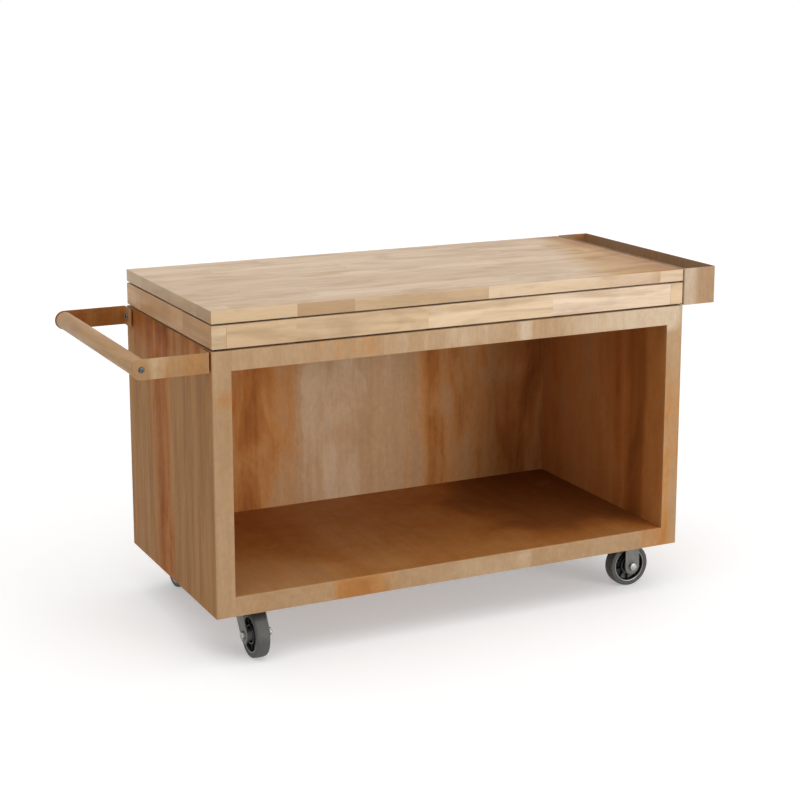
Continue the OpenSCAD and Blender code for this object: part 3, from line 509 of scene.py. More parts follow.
# Moulded wheel centre: the radii over which one finish turns into the next, and for the recess, which
# is painted dark as shade, the distances from the middle plane
centreFinish = {
    "rim": (0.0436, 0.0446),
    "hubRing": (0.0246, 0.0256),
    "recess": (0.0135, 0.0148),
    "lip": (0.0432, 0.0440),
}


def centreSurface(kit, place, face, recess, lip):
    # the recess between the hub's ring and the rim is painted nearly black as shade, and the rim's lip is
    # painted bright as a highlight, on top of its metallic, smoother finish
    reach, depth = [kit.node("Attribute", attribute_name=key).outputs["Fac"] for key in ("reach", "depth")]
    inward = kit.fade(reach, *centreFinish["rim"], 1.0, 0.0)
    ring = kit.times(kit.fade(reach, *centreFinish["hubRing"]), inward)
    inner = kit.times(kit.fade(depth, *centreFinish["recess"], 1.0, 0.0), inward)
    lipHighlight = kit.fade(reach, *centreFinish["lip"])
    cloud = kit.noise(place, 70, 5, 0.6)
    mottled = kit.mix(kit.fade(cloud, 0.3, 0.7, 0.0, 0.25), face, recess)
    deepened = kit.mix(kit.calc("MAXIMUM", ring, inner), mottled, recess)
    rough = kit.calc("SUBTRACT", kit.fade(cloud, 0.3, 0.7, 0.40, 0.52), kit.times(lipHighlight, 0.14))
    inputs = {"Base Color": kit.mix(lipHighlight, deepened, lip), "Metallic": kit.times(lipHighlight, 0.85),
              "Roughness": rough}
    return inputs, kit.noise(place, 800, 3, 0.6), 0.0002, 0.3


def plainWoodSurface(kit, place, light, dark):
    # for hidden blocks: grain along the table's depth
    figure = kit.noise(kit.stretched(place, (30.0, 3.0, 30.0)), 1.0, 4, 0.55, 0.8)
    fibre = kit.noise(kit.stretched(place, (600.0, 26.0, 600.0)), 1.0, 3, 0.6)
    mixed = kit.plus(kit.times(figure, 0.6), kit.times(fibre, 0.4))
    inputs = {"Base Color": kit.mix(kit.fade(mixed, 0.35, 0.65), light, dark),
              "Roughness": kit.fade(figure, 0.3, 0.7, 0.45, 0.6)}
    return inputs, fibre, 0.0003, 0.3


# Sheets by material: front gives a piece's front faces the frame's field of rust
steels = {
    "frontRails": {"offset": (3.1, 0.0, 0.0), "rust": 0.12, "contrast": 0.8, "front": True},
    "sideLeft": {
        # the tint falls on the left face only: painted shade for that side, darker and browner than the
        # front, together with its own browner weathering
        "offset": (0.0, 2.3, 0.4), "rust": 0.08, "contrast": 0.70, "tint": (0.80, 0.61, 0.355),
        "bands": (1, -0.33, 0.33, [(0.0, 0.06), (0.30, 0.03), (0.44, 0.0), (0.45, 0.06), (0.484, 0.28),
                                   (0.51, 0.46), (0.60, 0.48), (0.64, 0.36), (0.66, 0.28), (0.71, 0.26),
                                   (0.76, 0.06), (1.0, 0.05)]),
        "patches": [((-0.627, 0.08, 0.83), (0.2, 0.66, 0.18), 0.34),
                    ((-0.627, 0.28, 0.80), (0.2, 0.2, 0.16), 0.10),
                    ((-0.627, -0.025, 0.20), (0.2, 0.045, 0.20), 0.24),
                    ((-0.627, 0.06, 0.77), (0.2, 0.09, 0.11), -0.22)],
        "front": True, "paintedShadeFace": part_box("side_panel_left")[0][0], "veins": 1.0,
    },
    "sideRight": {"offset": (5.0, 1.3, 0.2), "rust": 0.20, "tint": (0.86, 0.76, 0.62), "front": True,
                  "veins": 0.6},
    "back": {
        # the tint above one brightens the wall: painted light inside the bay. The rust that rises towards the
        # right end is partly rust and partly painted shade in that corner.
        "offset": (1.7, 0.3, 0.9), "rust": 0.10, "contrast": 0.9, "tint": (1.13, 1.09, 1.05),
        "bands": (0, -0.577, 0.673, [(0.0, 0.58), (0.22, 0.54), (0.25, 0.58), (0.27, 0.44), (0.352, 0.42),
                                     (0.368, -0.04), (0.45, -0.10), (0.62, -0.12), (0.626, 0.06),
                                     (0.655, 0.12), (0.69, 0.44), (0.73, 0.40), (0.8, 0.38), (0.9, 0.46),
                                     (1.0, 0.58)]),
        "inner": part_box("back_panel")[0][1] + 0.0008,
    },
    "linerLeft": {"offset": (2.2, 4.3, 0.2), "rust": 0.40},
    "linerRight": {
        "offset": (7.2, 0.3, 0.5), "rust": 0.46, "contrast": 0.45, "tint": (1.14, 1.04, 0.92),
        "bands": (1, -0.33, 0.33, [(0.0, 0.10), (0.13, 0.10), (0.16, 0.22), (0.25, 0.20), (0.30, 0.06),
                                   (0.36, 0.12), (0.42, 0.06), (0.7, 0.0), (1.0, 0.02)]),
        "veins": 0.0,
    },
    "floor": {
        "offset": (4.1, 5.3, 0.2), "rust": 0.54, "contrast": 0.25, "run": (1.0, 0.10, 1.0),
        "tint": (0.95, 0.90, 0.79), "front": True, "gloss": 0.08,
        # the patches make the floor paler towards the front and darker at the back on the right: painted
        # light and shade in the bay, over its rust
        "patches": [((-0.50, -0.25, 0.18), (0.32, 0.3, 0.1), -0.16),
                    ((0.60, 0.1, 0.18), (0.45, 0.5, 0.1), 0.30),
                    ((0.10, -0.33, 0.18), (0.8, 0.2, 0.1), -0.04)],
    },
    "hidden": {"offset": (6.1, 2.1, 0.4), "rust": 0.55},
    "strap": {
        "offset": (8.4, 1.1, 0.4), "rust": 0.12, "contrast": 0.8, "run": (1.0, 1.0, 0.12),
        "tint": (0.85, 0.77, 0.65),
        # the last patch darkens the back strap, which sits in the cabinet's shadow: more rust, and painted
        # shade with it
        "patches": [((-0.755, -0.33, 0.775), (0.045, 0.1, 0.1), -0.22),
                    ((-0.665, -0.33, 0.775), (0.06, 0.1, 0.1), 0.14),
                    ((-0.75, 0.33, 0.775), (0.3, 0.1, 0.1), 0.46)],
    },
    "trough": {
        "offset": (9.3, 3.7, 0.1), "rust": -0.06, "contrast": 0.9, "tint": (0.91, 0.90, 0.92),
        "bands": (0, 0.723, 0.825, [(0.0, -0.08), (0.22, -0.06), (0.40, 0.12), (0.62, 0.34), (0.85, 0.28),
                                    (1.0, 0.16)]),
    },
}
materials = {key: makeMaterial(key + "Steel", steelSurface, **settings) for key, settings in steels.items()}
for key, name, build, settings in (
    ("wood", "laminatedWood", woodSurface, {}),
    ("leftRailWood", "leftRailWood", woodSurface,
     # the left rail's outer face gets its own warmer, slightly darker colour: painted shade for that side
     {"paintedLeftShade": (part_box("apron_left")[0][0], (1.10, 0.95, 0.76, 1.0))}),
    ("boardWood", "boardWood", woodSurface,
     {"tint": (0.975, 0.975, 0.975), "warmLine": (0.555, 0.30, 0.899), "figure": 0.5}),
    ("barWood", "barWood", woodSurface, {"tint": (0.76, 0.605, 0.415), "figure": 1.0}),
    ("zinc", "zincPlate", metalSurface,
     {"colour": toned(116, 115, 111), "rough": 0.44, "metallic": 0.55, "spread": 0.05, "scale": 45}),
    ("bolt", "boltSteel", metalSurface,
     {"colour": toned(168, 167, 162), "rough": 0.34, "metallic": 1.0, "spread": 0.04, "scale": 120}),
    ("darkBolt", "darkBolt", metalSurface,
     {"colour": toned(84, 88, 94), "rough": 0.26, "metallic": 1.0, "spread": 0.04, "scale": 140}),
    ("brass", "brass", metalSurface,
     {"colour": toned(190, 158, 92), "rough": 0.34, "metallic": 1.0, "spread": 0.05, "scale": 90}),
    ("rubber", "greyRubber", rubberSurface, {"colour": toned(72, 71, 67), "rough": 0.58}),
    # the recess colour is painted shade, and the lip colour a painted highlight
    ("wheelCentre", "wheelCentre", centreSurface,
     {"face": toned(98, 98, 92), "recess": toned(18, 17, 15), "lip": toned(150, 150, 144)}),
    ("plainWood", "plainWood", plainWoodSurface,
     {"light": toned(214, 186, 148), "dark": toned(190, 158, 118)}),
):
    materials[key] = makeMaterial(name, build, **settings)
print("materials built:", len(materials))


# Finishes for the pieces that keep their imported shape
finishes = {
    "frontRails": "top_panel",
    "sideLeft": "side_panel_left",
    "sideRight": "side_panel_right",
    "back": "back_panel",
    "linerLeft": "bay_liner_left",
    "linerRight": "bay_liner_right",
    "floor": "floor_panel",
    "hidden": "wall_stiffeners top_stiffeners floor_stiffener caster_rail_left caster_rail_right",
    "trough": "planter_trough",
    "zinc": "handle_backing_plates spacer_washers",
    "bolt": "board_screws worktop_bolts caster_weld_nuts fixed_axle_sleeves kingpins swivel_balls_front "
            "swivel_balls_back swivel_axle_sleeve_front swivel_axle_sleeve_back",
    "brass": "threaded_inserts wheel_bush_front_left wheel_bush_back_left wheel_bush_front_right "
             "wheel_bush_back_right",
    "plainWood": "apron_dowels apron_battens",
}
for finish, names in finishes.items():
    for name in names.split():
        mesh = cadNodes[name].data
        mesh.materials.clear()
        mesh.materials.append(materials[finish])
print("finishes given")


def boxCorners(node):
    return [np.array(corner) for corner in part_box(node)]


def others(axis):
    return [a for a in range(3) if a != axis]


# Surfaces: grids of points worked out as whole arrays. A surface is its points, its quads and its UV
# values at each quad's corners, by map name.
def gridSurface(points, closedRows=False, closedColumns=False, uvs=None):
    # points[row, column] are joined in quads; rows or columns also close on themselves where asked.
    # uvs is {map name: array with one more row and column where closed}.
    rows, columns = points.shape[:2]
    r, c = np.meshgrid(np.arange(rows if closedRows else rows - 1),
                       np.arange(columns if closedColumns else columns - 1), indexing="ij")
    corners = [(r, c), (r, c + 1), (r + 1, c + 1), (r + 1, c)]
    quads = np.stack([(i % rows) * columns + j % columns for i, j in corners], -1).reshape(-1, 4)
    loops = {key: np.stack([uv[i, j] for i, j in corners], 2).reshape(-1, 2)
             for key, uv in (uvs or {}).items()}
    return points.reshape(-1, 3), quads, loops


def stacked(surfaces):
    # several surfaces as one, each quad's point numbers moved past the points before it
    starts = np.cumsum([0] + [len(surface[0]) for surface in surfaces])
    quads = [surface[1] + start for surface, start in zip(surfaces, starts)]
    loops = {key: np.concatenate([surface[2][key] for surface in surfaces]) for key in surfaces[0][2]}
    return np.concatenate([surface[0] for surface in surfaces]), np.concatenate(quads), loops


def meshObject(name, surface, sharp=35.0):
    # poles and seams are merged, and the faces turned outwards
    vertices, quads, loops = surface
    mesh = bpy.data.meshes.new(name)
    mesh.vertices.add(len(vertices))
    mesh.vertices.foreach_set("co", np.asarray(vertices, np.float32).ravel())
    mesh.loops.add(quads.size)
    mesh.loops.foreach_set("vertex_index", quads.astype(np.int32).ravel())
    mesh.polygons.add(len(quads))
    mesh.polygons.foreach_set("loop_start", np.arange(0, quads.size, 4, dtype=np.int32))
    for key, values in loops.items():
        layer = mesh.uv_layers.new(name=key)
        layer.data.foreach_set("uv", np.asarray(values, np.float32).ravel())
    mesh.update(calc_edges=True)
    work = bmesh.new()
    work.from_mesh(mesh)
    bmesh.ops.remove_doubles(work, verts=work.verts, dist=1e-6)
    bmesh.ops.dissolve_degenerate(work, edges=work.edges, dist=1e-7)
    bmesh.ops.recalc_face_normals(work, faces=work.faces)
    work.to_mesh(mesh)
    work.free()
    return shaped(name, mesh, sharp)


def shaped(name, mesh, sharp):
    mesh.polygons.foreach_set("use_smooth", np.ones(len(mesh.polygons), bool))
    mesh.set_sharp_from_angle(angle=math.radians(sharp))
    return linked(name, mesh)


def dress(piece, material, body, slot, *replaced):
    piece.data.materials.clear()
    piece.data.materials.append(materials[material])
    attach(piece, body)
    if replaced:
        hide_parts(*replaced)
    return piece


def edgeSteps(low, high, radius, cuts=()):
    # places along one side of a rounded box: four close steps at each rounded edge, and the cuts between
    bend = radius * (1 - np.tan(np.radians([45, 30, 15, 0])))
    inside = sorted({round(c, 6) for c in cuts if low + 1.5 * radius < c < high - 1.5 * radius})
    return np.concatenate([low + bend, inside, (high - bend)[::-1]])


def boxSurface(low, high, radius, cuts=((), (), ()), maps=None):
    # Six gridded faces; each point is pulled to the inner box that is smaller by the radius, and then
    # pushed out by the radius along the line between the two, which rounds every edge and corner.
    # maps(axis, side, points) gives each face's UV values at its four corners.
    low, high = np.array(low, float), np.array(high, float)
    steps = [edgeSteps(low[a], high[a], radius, cuts[a]) for a in range(3)]
    faces = []
    for axis in range(3):
        u, v = others(axis)
        for side in (0, 1):
            grid = np.zeros((len(steps[u]), len(steps[v]), 3))
            grid[..., u], grid[..., v] = np.meshgrid(steps[u], steps[v], indexing="ij")
            grid[..., axis] = (low, high)[side][axis]
            core = np.clip(grid, low + radius, high - radius)
            away = grid - core
            grid = core + radius * away / np.linalg.norm(away, axis=2, keepdims=True)
            points, quads, loops = gridSurface(grid)
            if maps:
                loops = {key: uv.reshape(-1, 2) for key, uv in maps(axis, side, points[quads]).items()}
            faces.append((points, quads, loops))
    return stacked(faces)


# Wood: how the staves lie on each face of a block
def woodMaps(low, size, number, faces):
    # faces[(axis, side)] is (along, across, row edges, joints of each row, tones of each row), measured
    # from the block's low corner. The stave map counts staves along and across and gives the place in
    # each; the grain map is the place in metres; the tone map is each stave's tone and hue.
    def maps(axis, side, places):
        along, across, edges, joints, tones = faces[(axis, side)]
        inside = places - low
        middle = inside.mean(1)
        row = np.searchsorted(edges, middle[:, across])
        run, tone = np.zeros(places.shape[:2]), np.zeros(places.shape[:2] + (2,))
        for r in range(len(joints)):
            mine = row == r
            stave = np.searchsorted(joints[r], middle[mine, along])
            knots = np.concatenate([[-0.001], joints[r], [size[along] + 0.001]])
            share = (inside[mine][..., along] - knots[stave][:, None]) / np.diff(knots)[stave][:, None]
            run[mine] = stave[:, None] + np.clip(share, 0.0005, 0.9995)
            tone[mine] = np.array(tones[r])[stave][:, None]
        step = 0.5 + 0 * run
        if len(edges):
            knots = np.concatenate([[0.0], edges, [size[across]]])
            step = (inside[..., across] - knots[row][:, None]) / np.diff(knots)[row][:, None]
            step = np.clip(step, 0.001, 0.999)
        code = 20 * (2 * axis + side) + 200 * number  # keeps two faces from sharing a stave's number
        grain = np.stack([places[..., along], places[..., across]], -1)
        return {"stave": np.stack([run, step + row[:, None] + code], -1), "grain": grain, "tone": tone}

    return maps


def chanceStaves(chance, length, rows, shortest, longest, tones, hues):
    # rows of staves with chance joints, tones and hues
    joints, looks = [], []
    for _ in range(rows):
        ends = np.cumsum(chance.uniform(shortest, longest, 8)) - shortest * chance.random()
        ends = ends[(ends > 0.04) & (ends < length - 0.04)]
        joints.append(ends)
        looks.append(np.stack([chance.uniform(*span, len(ends) + 1) for span in (tones, hues)], 1))
    return joints, looks


# Worktop board: eleven rows of staves on its faces, single staves along its sides
boardLook = {
    "radius": 0.0010,
    "rows": 11,
    "staves": (0.30, 0.62),  # shortest and longest
    "tones": (0.42, 0.86),
    "hues": (0.55, 1.0),
    "seed": 11,
    "front": ([0.2218, 0.375, 0.75, 1.1236, 1.273],
              [(0.50, 0.0), (0.0, 0.0), (0.38, 0.1), (0.74, 0.45), (0.55, 0.9), (0.74, 0.5)]),
    "left": ([0.1019, 0.5358], [(0.0, 0.1), (0.28, 0.2), (0.38, 0.3)]),
}


def makeBoard(look):
    low, high = boxCorners("worktop_board")
    size = high - low
    chance = np.random.default_rng(look["seed"])
    edges = size[1] / look["rows"] * np.arange(1, look["rows"])
    span = look["staves"] + (look["tones"], look["hues"])
    top, bottom = [chanceStaves(chance, size[0], look["rows"], *span) for _ in range(2)]
    back = chanceStaves(chance, size[0], 1, *span)
    right = chanceStaves(chance, size[1], 1, *span)
    faces = {
        (0, 0): (1, 2, [], [look["left"][0]], [look["left"][1]]), (0, 1): (1, 2, [], *right),
        (1, 0): (0, 2, [], [look["front"][0]], [look["front"][1]]), (1, 1): (0, 2, [], *back),
        (2, 0): (0, 1, edges, *bottom), (2, 1): (0, 1, edges, *top),
    }
    cutsX = np.concatenate([look["front"][0], *back[0], *top[0], *bottom[0]]) + low[0]
    cutsY = np.concatenate([edges, look["left"][0], *right[0]]) + low[1]
    surface = boxSurface(low, high, look["radius"], (cutsX, cutsY, ()), woodMaps(low, size, 1, faces))
    dress(meshObject("worktopBoard", surface), "boardWood", "cabinet", "oiled_wood", "worktop_board")


# Wooden frame under the board: a proud band and a narrower tongue that makes the two shadow gaps
railLook = {
    "radius": 0.001,
    "gapBelow": 0.005,
    "gapAbove": 0.0045,
    "rebate": 0.010,
    # the tongues' tone and hue: a tone of -1 paints them in the wood's shadow colour, painted shade in the
    # gaps
    "tongue": (-1.0, 0.0),
    # each rail's axis, joints, staves' tones and hues, ends' tone and hue, first number and material
    "rails": {
        "Front": (0, [0.1811, 0.54, 0.9024], [(0.32, 0.0), (0.44, 0.1), (0.76, 0.30), (0.92, 1.0)],
                  (0.5, 0.2), 3, "wood"),
        "Back": (0, [0.27, 0.69, 1.05], [(0.4, 0.3), (0.7, 0.2), (0.3, 0.5), (0.6, 0.4)],
                 (0.5, 0.2), 5, "wood"),
        "Left": (1, [0.2057, 0.5429], [(0.0, 0.1), (0.15, 0.0), (0.36, 0.3)], (0.62, 0.0), 7, "leftRailWood"),
        "Right": (1, [0.15, 0.51], [(0.5, 0.3), (0.3, 0.1), (0.6, 0.3)], (0.5, 0.2), 9, "wood"),
    },
}


def makeRail(look, end):
    along, joints, tones, endTone, number, wood = look["rails"][end]
    node = "apron_" + end.lower()
    low, high = boxCorners(node)
    size = high - low
    band, tongue = np.array([low, high]), np.array([low, high])
    band[:, 2] += look["gapBelow"], -look["gapAbove"]
    across, inset = 1 - along, (look["rebate"], -look["rebate"])
    outward = int((low + high)[across] > sum(boxCorners("worktop_board"))[across])
    tongue[outward, across] += inset[outward]
    if along == 1:
        tongue[:, 1] += inset
    surfaces = []
    tongues = [look["tongue"]] * len(tones)
    for step, corners, shades, endShade in ((0, band, tones, endTone), (1, tongue, tongues, look["tongue"])):
        faces = {(a, s): (along, across if a == 2 else 2, [], [joints], [shades])
                 for a in range(3) for s in (0, 1)}
        faces[(along, 0)] = faces[(along, 1)] = (across, 2, [], [[]], [[endShade]])
        cuts = [(), (), ()]
        cuts[along] = np.array(joints) + low[along]
        surfaces.append(boxSurface(*corners, look["radius"], cuts, woodMaps(low, size, number + step, faces)))
    dress(meshObject("frameRail" + end, stacked(surfaces)), wood, "cabinet", "oiled_wood", node)


makeBoard(boardLook)
for end in railLook["rails"]:
    makeRail(railLook, end)
print("worktop made")


def fullTurn(segments):
    return np.linspace(0, 2 * np.pi, segments, endpoint=False)


def rings(places, radii, centre, axis, closed=False, maps=None):
    # rings round an axis: each row's place along it, and its radius at each segment
    angle = fullTurn(radii.shape[1])
    side, up = others(axis)
    points = np.zeros(radii.shape + (3,))
    points[..., axis] = centre[axis] + places
    points[..., side] = centre[side] + radii * np.cos(angle)
    points[..., up] = centre[up] + radii * np.sin(angle)
    return gridSurface(points, closed, True, maps)


def turned(profile, centre, axis, segments=64, tone=None, closed=False):
    # a profile of (distance along the axis, radius) turned round the axis; ends at radius 0 close it
    profile = np.array(profile, float)
    maps = None
    if tone:
        girth = np.linspace(0, 2 * np.pi * profile[:, 1].max(), segments + 1)
        length = np.cumsum(np.r_[0, np.hypot(*np.diff(profile, axis=0).T)])
        grain = np.stack(np.meshgrid(length, girth, indexing="ij"), -1)
        maps = {"grain": grain, "stave": grain * 0 + (0.5, 333.5), "tone": grain * 0 + tone}
    return rings(profile[:, :1], np.repeat(profile[:, 1:], segments, 1), centre, axis, closed, maps)


def arc(centreAlong, centreRadius, radius, start, end, steps=6):
    # points on a quarter turn of a profile, from one angle to the other, in degrees
    turn = np.radians(np.linspace(start, end, steps))
    return np.stack([centreAlong + radius * np.cos(turn), centreRadius + radius * np.sin(turn)], 1)


# Handle bar: a round wooden bar with eased ends
barLook = {"ease": 0.0018, "tone": (0.42, 0.1)}


def makeBar(look):
    low, high = boxCorners("handle_bar")
    centre = (low + high) / 2
    half, radius, ease = (high[1] - low[1]) / 2, (high[2] - low[2]) / 2, look["ease"]
    profile = np.concatenate([
        [[-half, 0.0]], [[-half, radius * 0.5]],
        arc(-half + ease, radius - ease, ease, 180, 90),
        arc(half - ease, radius - ease, ease, 90, 0),
        [[half, radius * 0.5]], [[half, 0.0]],
    ])
    bar = meshObject("handleBar", turned(profile, centre, 1, 72, look["tone"]))
    dress(bar, "barWood", "cabinet", "oiled_wood", "handle_bar")


makeBar(barLook)
print("handle bar made")


# Fasteners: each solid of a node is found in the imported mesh, and a finer one is made in its place
boltLooks = {
    "button": {"head": 0.0070, "height": 0.0044, "shank": 0.004, "socket": 0.0028, "depth": 0.0026},
    "plate": {"head": 0.0074, "height": 0.0052, "shank": 0.004},
    "axle": {"head": 0.01098, "height": 0.0075, "shank": 0.006, "thread": 0.010, "pitch": 0.00175},
}


def solidPoints(node):
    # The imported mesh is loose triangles, so equal points are joined first. Then every triangle hands on
    # the lowest number among its corners, until the numbers no longer change: one number, one solid.
    mesh = cadNodes[node].data
    points, loops = np.empty(len(mesh.vertices) * 3, np.float32), np.empty(len(mesh.loops), np.int32)
    mesh.vertices.foreach_get("co", points)
    mesh.loops.foreach_get("vertex_index", loops)
    places, number = np.unique(np.round(points.reshape(-1, 3), 6), axis=0, return_inverse=True)
    triangles = number.ravel()[loops].reshape(-1, 3)
    label, before = np.arange(len(places)), None
    while before is None or (label != before).any():
        before = label.copy()
        np.minimum.at(label, triangles.ravel(), np.repeat(label[triangles].min(1), 3))
        label = label[label]
    return [places[label == solid] for solid in np.unique(label)]


def hexTurned(rows, seat, axis, way, closed=False, segments=48):
    # Rows of (distance from the seat, hexagon's corner radius or 0, largest radius) turned round the
    # axis. At each angle a hexagon's radius is its corner radius times cos 30 over the cosine of the
    # angle to the middle of its side, and never more than the row's largest radius, which chamfers it.
    rows = np.array(rows, float)
    flat = rows[:, 1:2] * np.cos(np.pi / 6) / np.cos(fullTurn(segments) % (np.pi / 3) - np.pi / 6)
    radii = np.where(rows[:, 1:2] > 0, np.minimum(flat, rows[:, 2:3]), rows[:, 2:3])
    return rings(way * rows[:, :1], radii, seat, axis, closed)


def shankRows(look, length):
    shank, thread, pitch = look["shank"], look.get("thread", 0), look.get("pitch", 1)
    rows = [(0, 0, shank)]
    for i in range(int(thread / pitch)):
        start = length - thread + i * pitch
        rows += [(start, 0, shank), (start + pitch * 0.5, 0, shank - pitch * 0.3)]
    return rows + [(length - 0.0008, 0, shank), (length, 0, shank - 0.0008), (length, 0, 0)]


def buttonRows(look, length):
    # hexagon socket, dome on a quarter ellipse, then the shank
    head, height, socket = look["head"], look["height"], look["socket"]
    bottom = look["depth"] - height
    turn = np.radians(np.linspace(0, 90, 8))
    rise, reach = 0.12 + 0.88 * np.cos(turn), 0.52 + 0.48 * np.sin(turn)
    dome = np.stack([-height * rise, 0 * turn, head * reach], 1)
    start = [(bottom + 0.0006, 0, 0), (bottom, 0, socket * 0.8), (bottom, socket, socket),
             (-height + 0.0003, socket, socket), (-height, 0, socket * 1.08)]
    return start + dome.tolist() + [(-0.0001, 0, head), (0, 0, head - 0.0003)] + shankRows(look, length)


def hexRows(look, length):
    # head with a turned chamfer on its outer face, in shares of the head's radius, then the shank
    head, height = look["head"], look["height"]
    drop = [(0.0, 0, 0.0), (0.0, 0, 0.62), (0.02, 0, 0.70), (0.02, 0, 0.80), (0.04, 1, 0.865),
            (0.08, 1, 0.93), (0.12, 1, 1.0)]
    top = [(-height + head * d, corner * head, head * cap) for d, corner, cap in drop]
    seat = [(-0.0004, head, head), (0, head, head * 0.96), (0, 0, head * 0.80)]
    return top + seat + shankRows(look, length)


def nutRows(look, height):
    head, bore = look["head"], look["shank"] + 0.00005
    edge = [(0.0, 0, 0.80), (0.03, 1, 0.865), (0.07, 1, 0.93), (0.12, 1, 1.0)]
    low = [(head * d, corner * head, head * cap) for d, corner, cap in edge]
    high = [(height - d, corner, cap) for d, corner, cap in low[::-1]]
    ease = 0.0006
    start, end = [(ease, 0, bore), (0, 0, bore + ease)], [(height, 0, bore + ease), (height - ease, 0, bore)]
    return start + low + high + end


def camel(node):
    first, *more = node.split("_")
    return first + "".join(word.title() for word in more)


def makeBolts(node, body, axis, kind):
    # a solid's head is at its wider end, and a solid with two equal ends is a nut
    look, surfaces = boltLooks[kind], []
    side, up = others(axis)
    for points in solidPoints(node):
        low, high = points.min(0), points.max(0)
        seat, length = (low + high) / 2, high[axis] - low[axis]
        reach = np.hypot(points[:, side] - seat[side], points[:, up] - seat[up])
        atLow, atHigh = [reach[np.abs(points[:, axis] - end[axis]) < 0.002].max() for end in (low, high)]
        way = 1 if atLow > atHigh else -1
        seat[axis] = low[axis] if way > 0 else high[axis]
        if abs(atLow - atHigh) < 1e-4:
            surfaces.append(hexTurned(nutRows(look, length), seat, axis, way, True))
            continue
        seat[axis] += way * look["height"]
        rows = (buttonRows if kind == "button" else hexRows)(look, length - look["height"])
        surfaces.append(hexTurned(rows, seat, axis, way))
    finish = "darkBolt" if kind == "button" else "bolt"
    dress(meshObject(camel(node), stacked(surfaces), 25.0), finish, body, "bolt_steel", node)


for node, body, axis, kind in (
    ("handle_bar_bolts", "cabinet", 1, "button"),
    ("handle_side_bolts", "cabinet", 0, "button"),
    ("trough_bolts", "cabinet", 0, "button"),
    ("caster_bolts", "cabinet", 2, "plate"),
    ("fixed_axle_bolts", "cabinet", 1, "axle"),
    ("swivel_axle_bolt_front", "swivel_front_left", 0, "axle"),
    ("swivel_axle_bolt_back", "swivel_back_left", 0, "axle"),
):
    makeBolts(node, body, axis, kind)
print("fasteners made")


# Sheet pieces whose cut edges are eased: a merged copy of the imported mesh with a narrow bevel
easing = {"merge": 1e-6, "flatAngle": 0.6, "bendAngle": 28.0, "segments": 2, "sharp": 30.0}


def easedCopy(look, name, node, width, material, body, slot):
    mesh = bpy.data.meshes.new(name)
    work = bmesh.new()
    work.from_mesh(cadNodes[node].data)
    bmesh.ops.remove_doubles(work, verts=work.verts, dist=look["merge"])
    bmesh.ops.dissolve_limit(work, angle_limit=math.radians(look["flatAngle"]), verts=work.verts,
                             edges=work.edges)
    least = math.radians(look["bendAngle"])
    bends = [edge for edge in work.edges if edge.is_manifold and edge.calc_face_angle() > least]
    bmesh.ops.bevel(work, geom=bends, offset=width, segments=look["segments"], profile=0.5, affect="EDGES",
                    clamp_overlap=True)
    work.to_mesh(mesh)
    work.free()
    dress(shaped(name, mesh, look["sharp"]), material, body, slot, node)


for kind, name, width, material, slot in (
    ("handle_strap", "strap", 0.0005, "strap", "weathering_steel"),
    ("fixed_bracket", "fixedBracket", 0.0005, "zinc", "zinc_steel"),
    ("swivel_plate", "swivelPlate", 0.0004, "zinc", "zinc_steel"),
    ("swivel_fork", "swivelFork", 0.0005, "zinc", "zinc_steel"),
):
    for end in ("Front", "Back"):
        body = "swivel_" + end.lower() + "_left" if kind == "swivel_fork" else "cabinet"
        easedCopy(easing, name + end, kind + "_" + end.lower(), width, material, body, slot)
print("straps and forks made")


# Casters: tyres and wheel centres turned from profiles, with ribs between the hub's ring and the rim
tyreLook = {
    "shoulder": 0.005,
    "crown": 0.0008,
    "rim": 0.0475,
    # the sidewall from the rim outwards, with its groove: depth below the tyre's face, height above the rim
    "wall": [(0.001, 0.0), (0.0, 0.0012), (0.0, 0.004), (0.0004, 0.0045), (0.0004, 0.0055), (0.0, 0.006)],
}
centreLook = {
    "ribs": 10,
    "rib": (0.0235, 0.0436, 0.0030, 0.0105),  # from and to radius, thickness, half its length
    # one half of the profile, from the hub's end to the rim: distance from the middle plane, radius
    "half": [(27.5, 11.05), (27.5, 14.4), (27.2, 14.8), (26.8, 15.0), (5.0, 15.4), (4.0, 15.9), (3.5, 16.9),
             (3.5, 20.2), (4.0, 21.1), (5.0, 21.4), (14.4, 21.6), (14.8, 21.8), (15.0, 22.2), (15.0, 24.2),
             (14.8, 24.7), (14.4, 24.9), (5.4, 25.0), (4.2, 25.3), (3.5, 26.4), (3.5, 40.6), (4.0, 41.6),
             (5.0, 42.1), (14.6, 43.7), (15.8, 44.0), (16.6, 44.5), (17.0, 45.2), (17.0, 46.2), (16.6, 46.8),
             (16.0, 47.0)],
}


def wheelFrame(name):
    low, high = boxCorners("tyre_" + name)
    axis = int(np.argmin(high - low))
    half = (high - low) / 2
    return (low + high) / 2, axis, half[axis], np.delete(half, axis).min()


def makeTyre(look, name):
    centre, axis, half, radius = wheelFrame(name)
    shoulder, crown = look["shoulder"], look["crown"]
    left = np.concatenate([
        np.array(look["wall"]) + (-half, look["rim"]),
        arc(-half + shoulder, radius - shoulder - crown, shoulder, 180, 95),
        [[-half * 0.4, radius - crown * 0.15]],
    ])
    profile = np.concatenate([left, [[0.0, radius]], left[::-1] * (-1, 1)])
    tyre = meshObject("tyre_" + name + "_rubber", turned(profile, centre, axis, 96, closed=True))
    dress(tyre, "rubber", "wheel_" + name, "grey_rubber", "tyre_" + name)


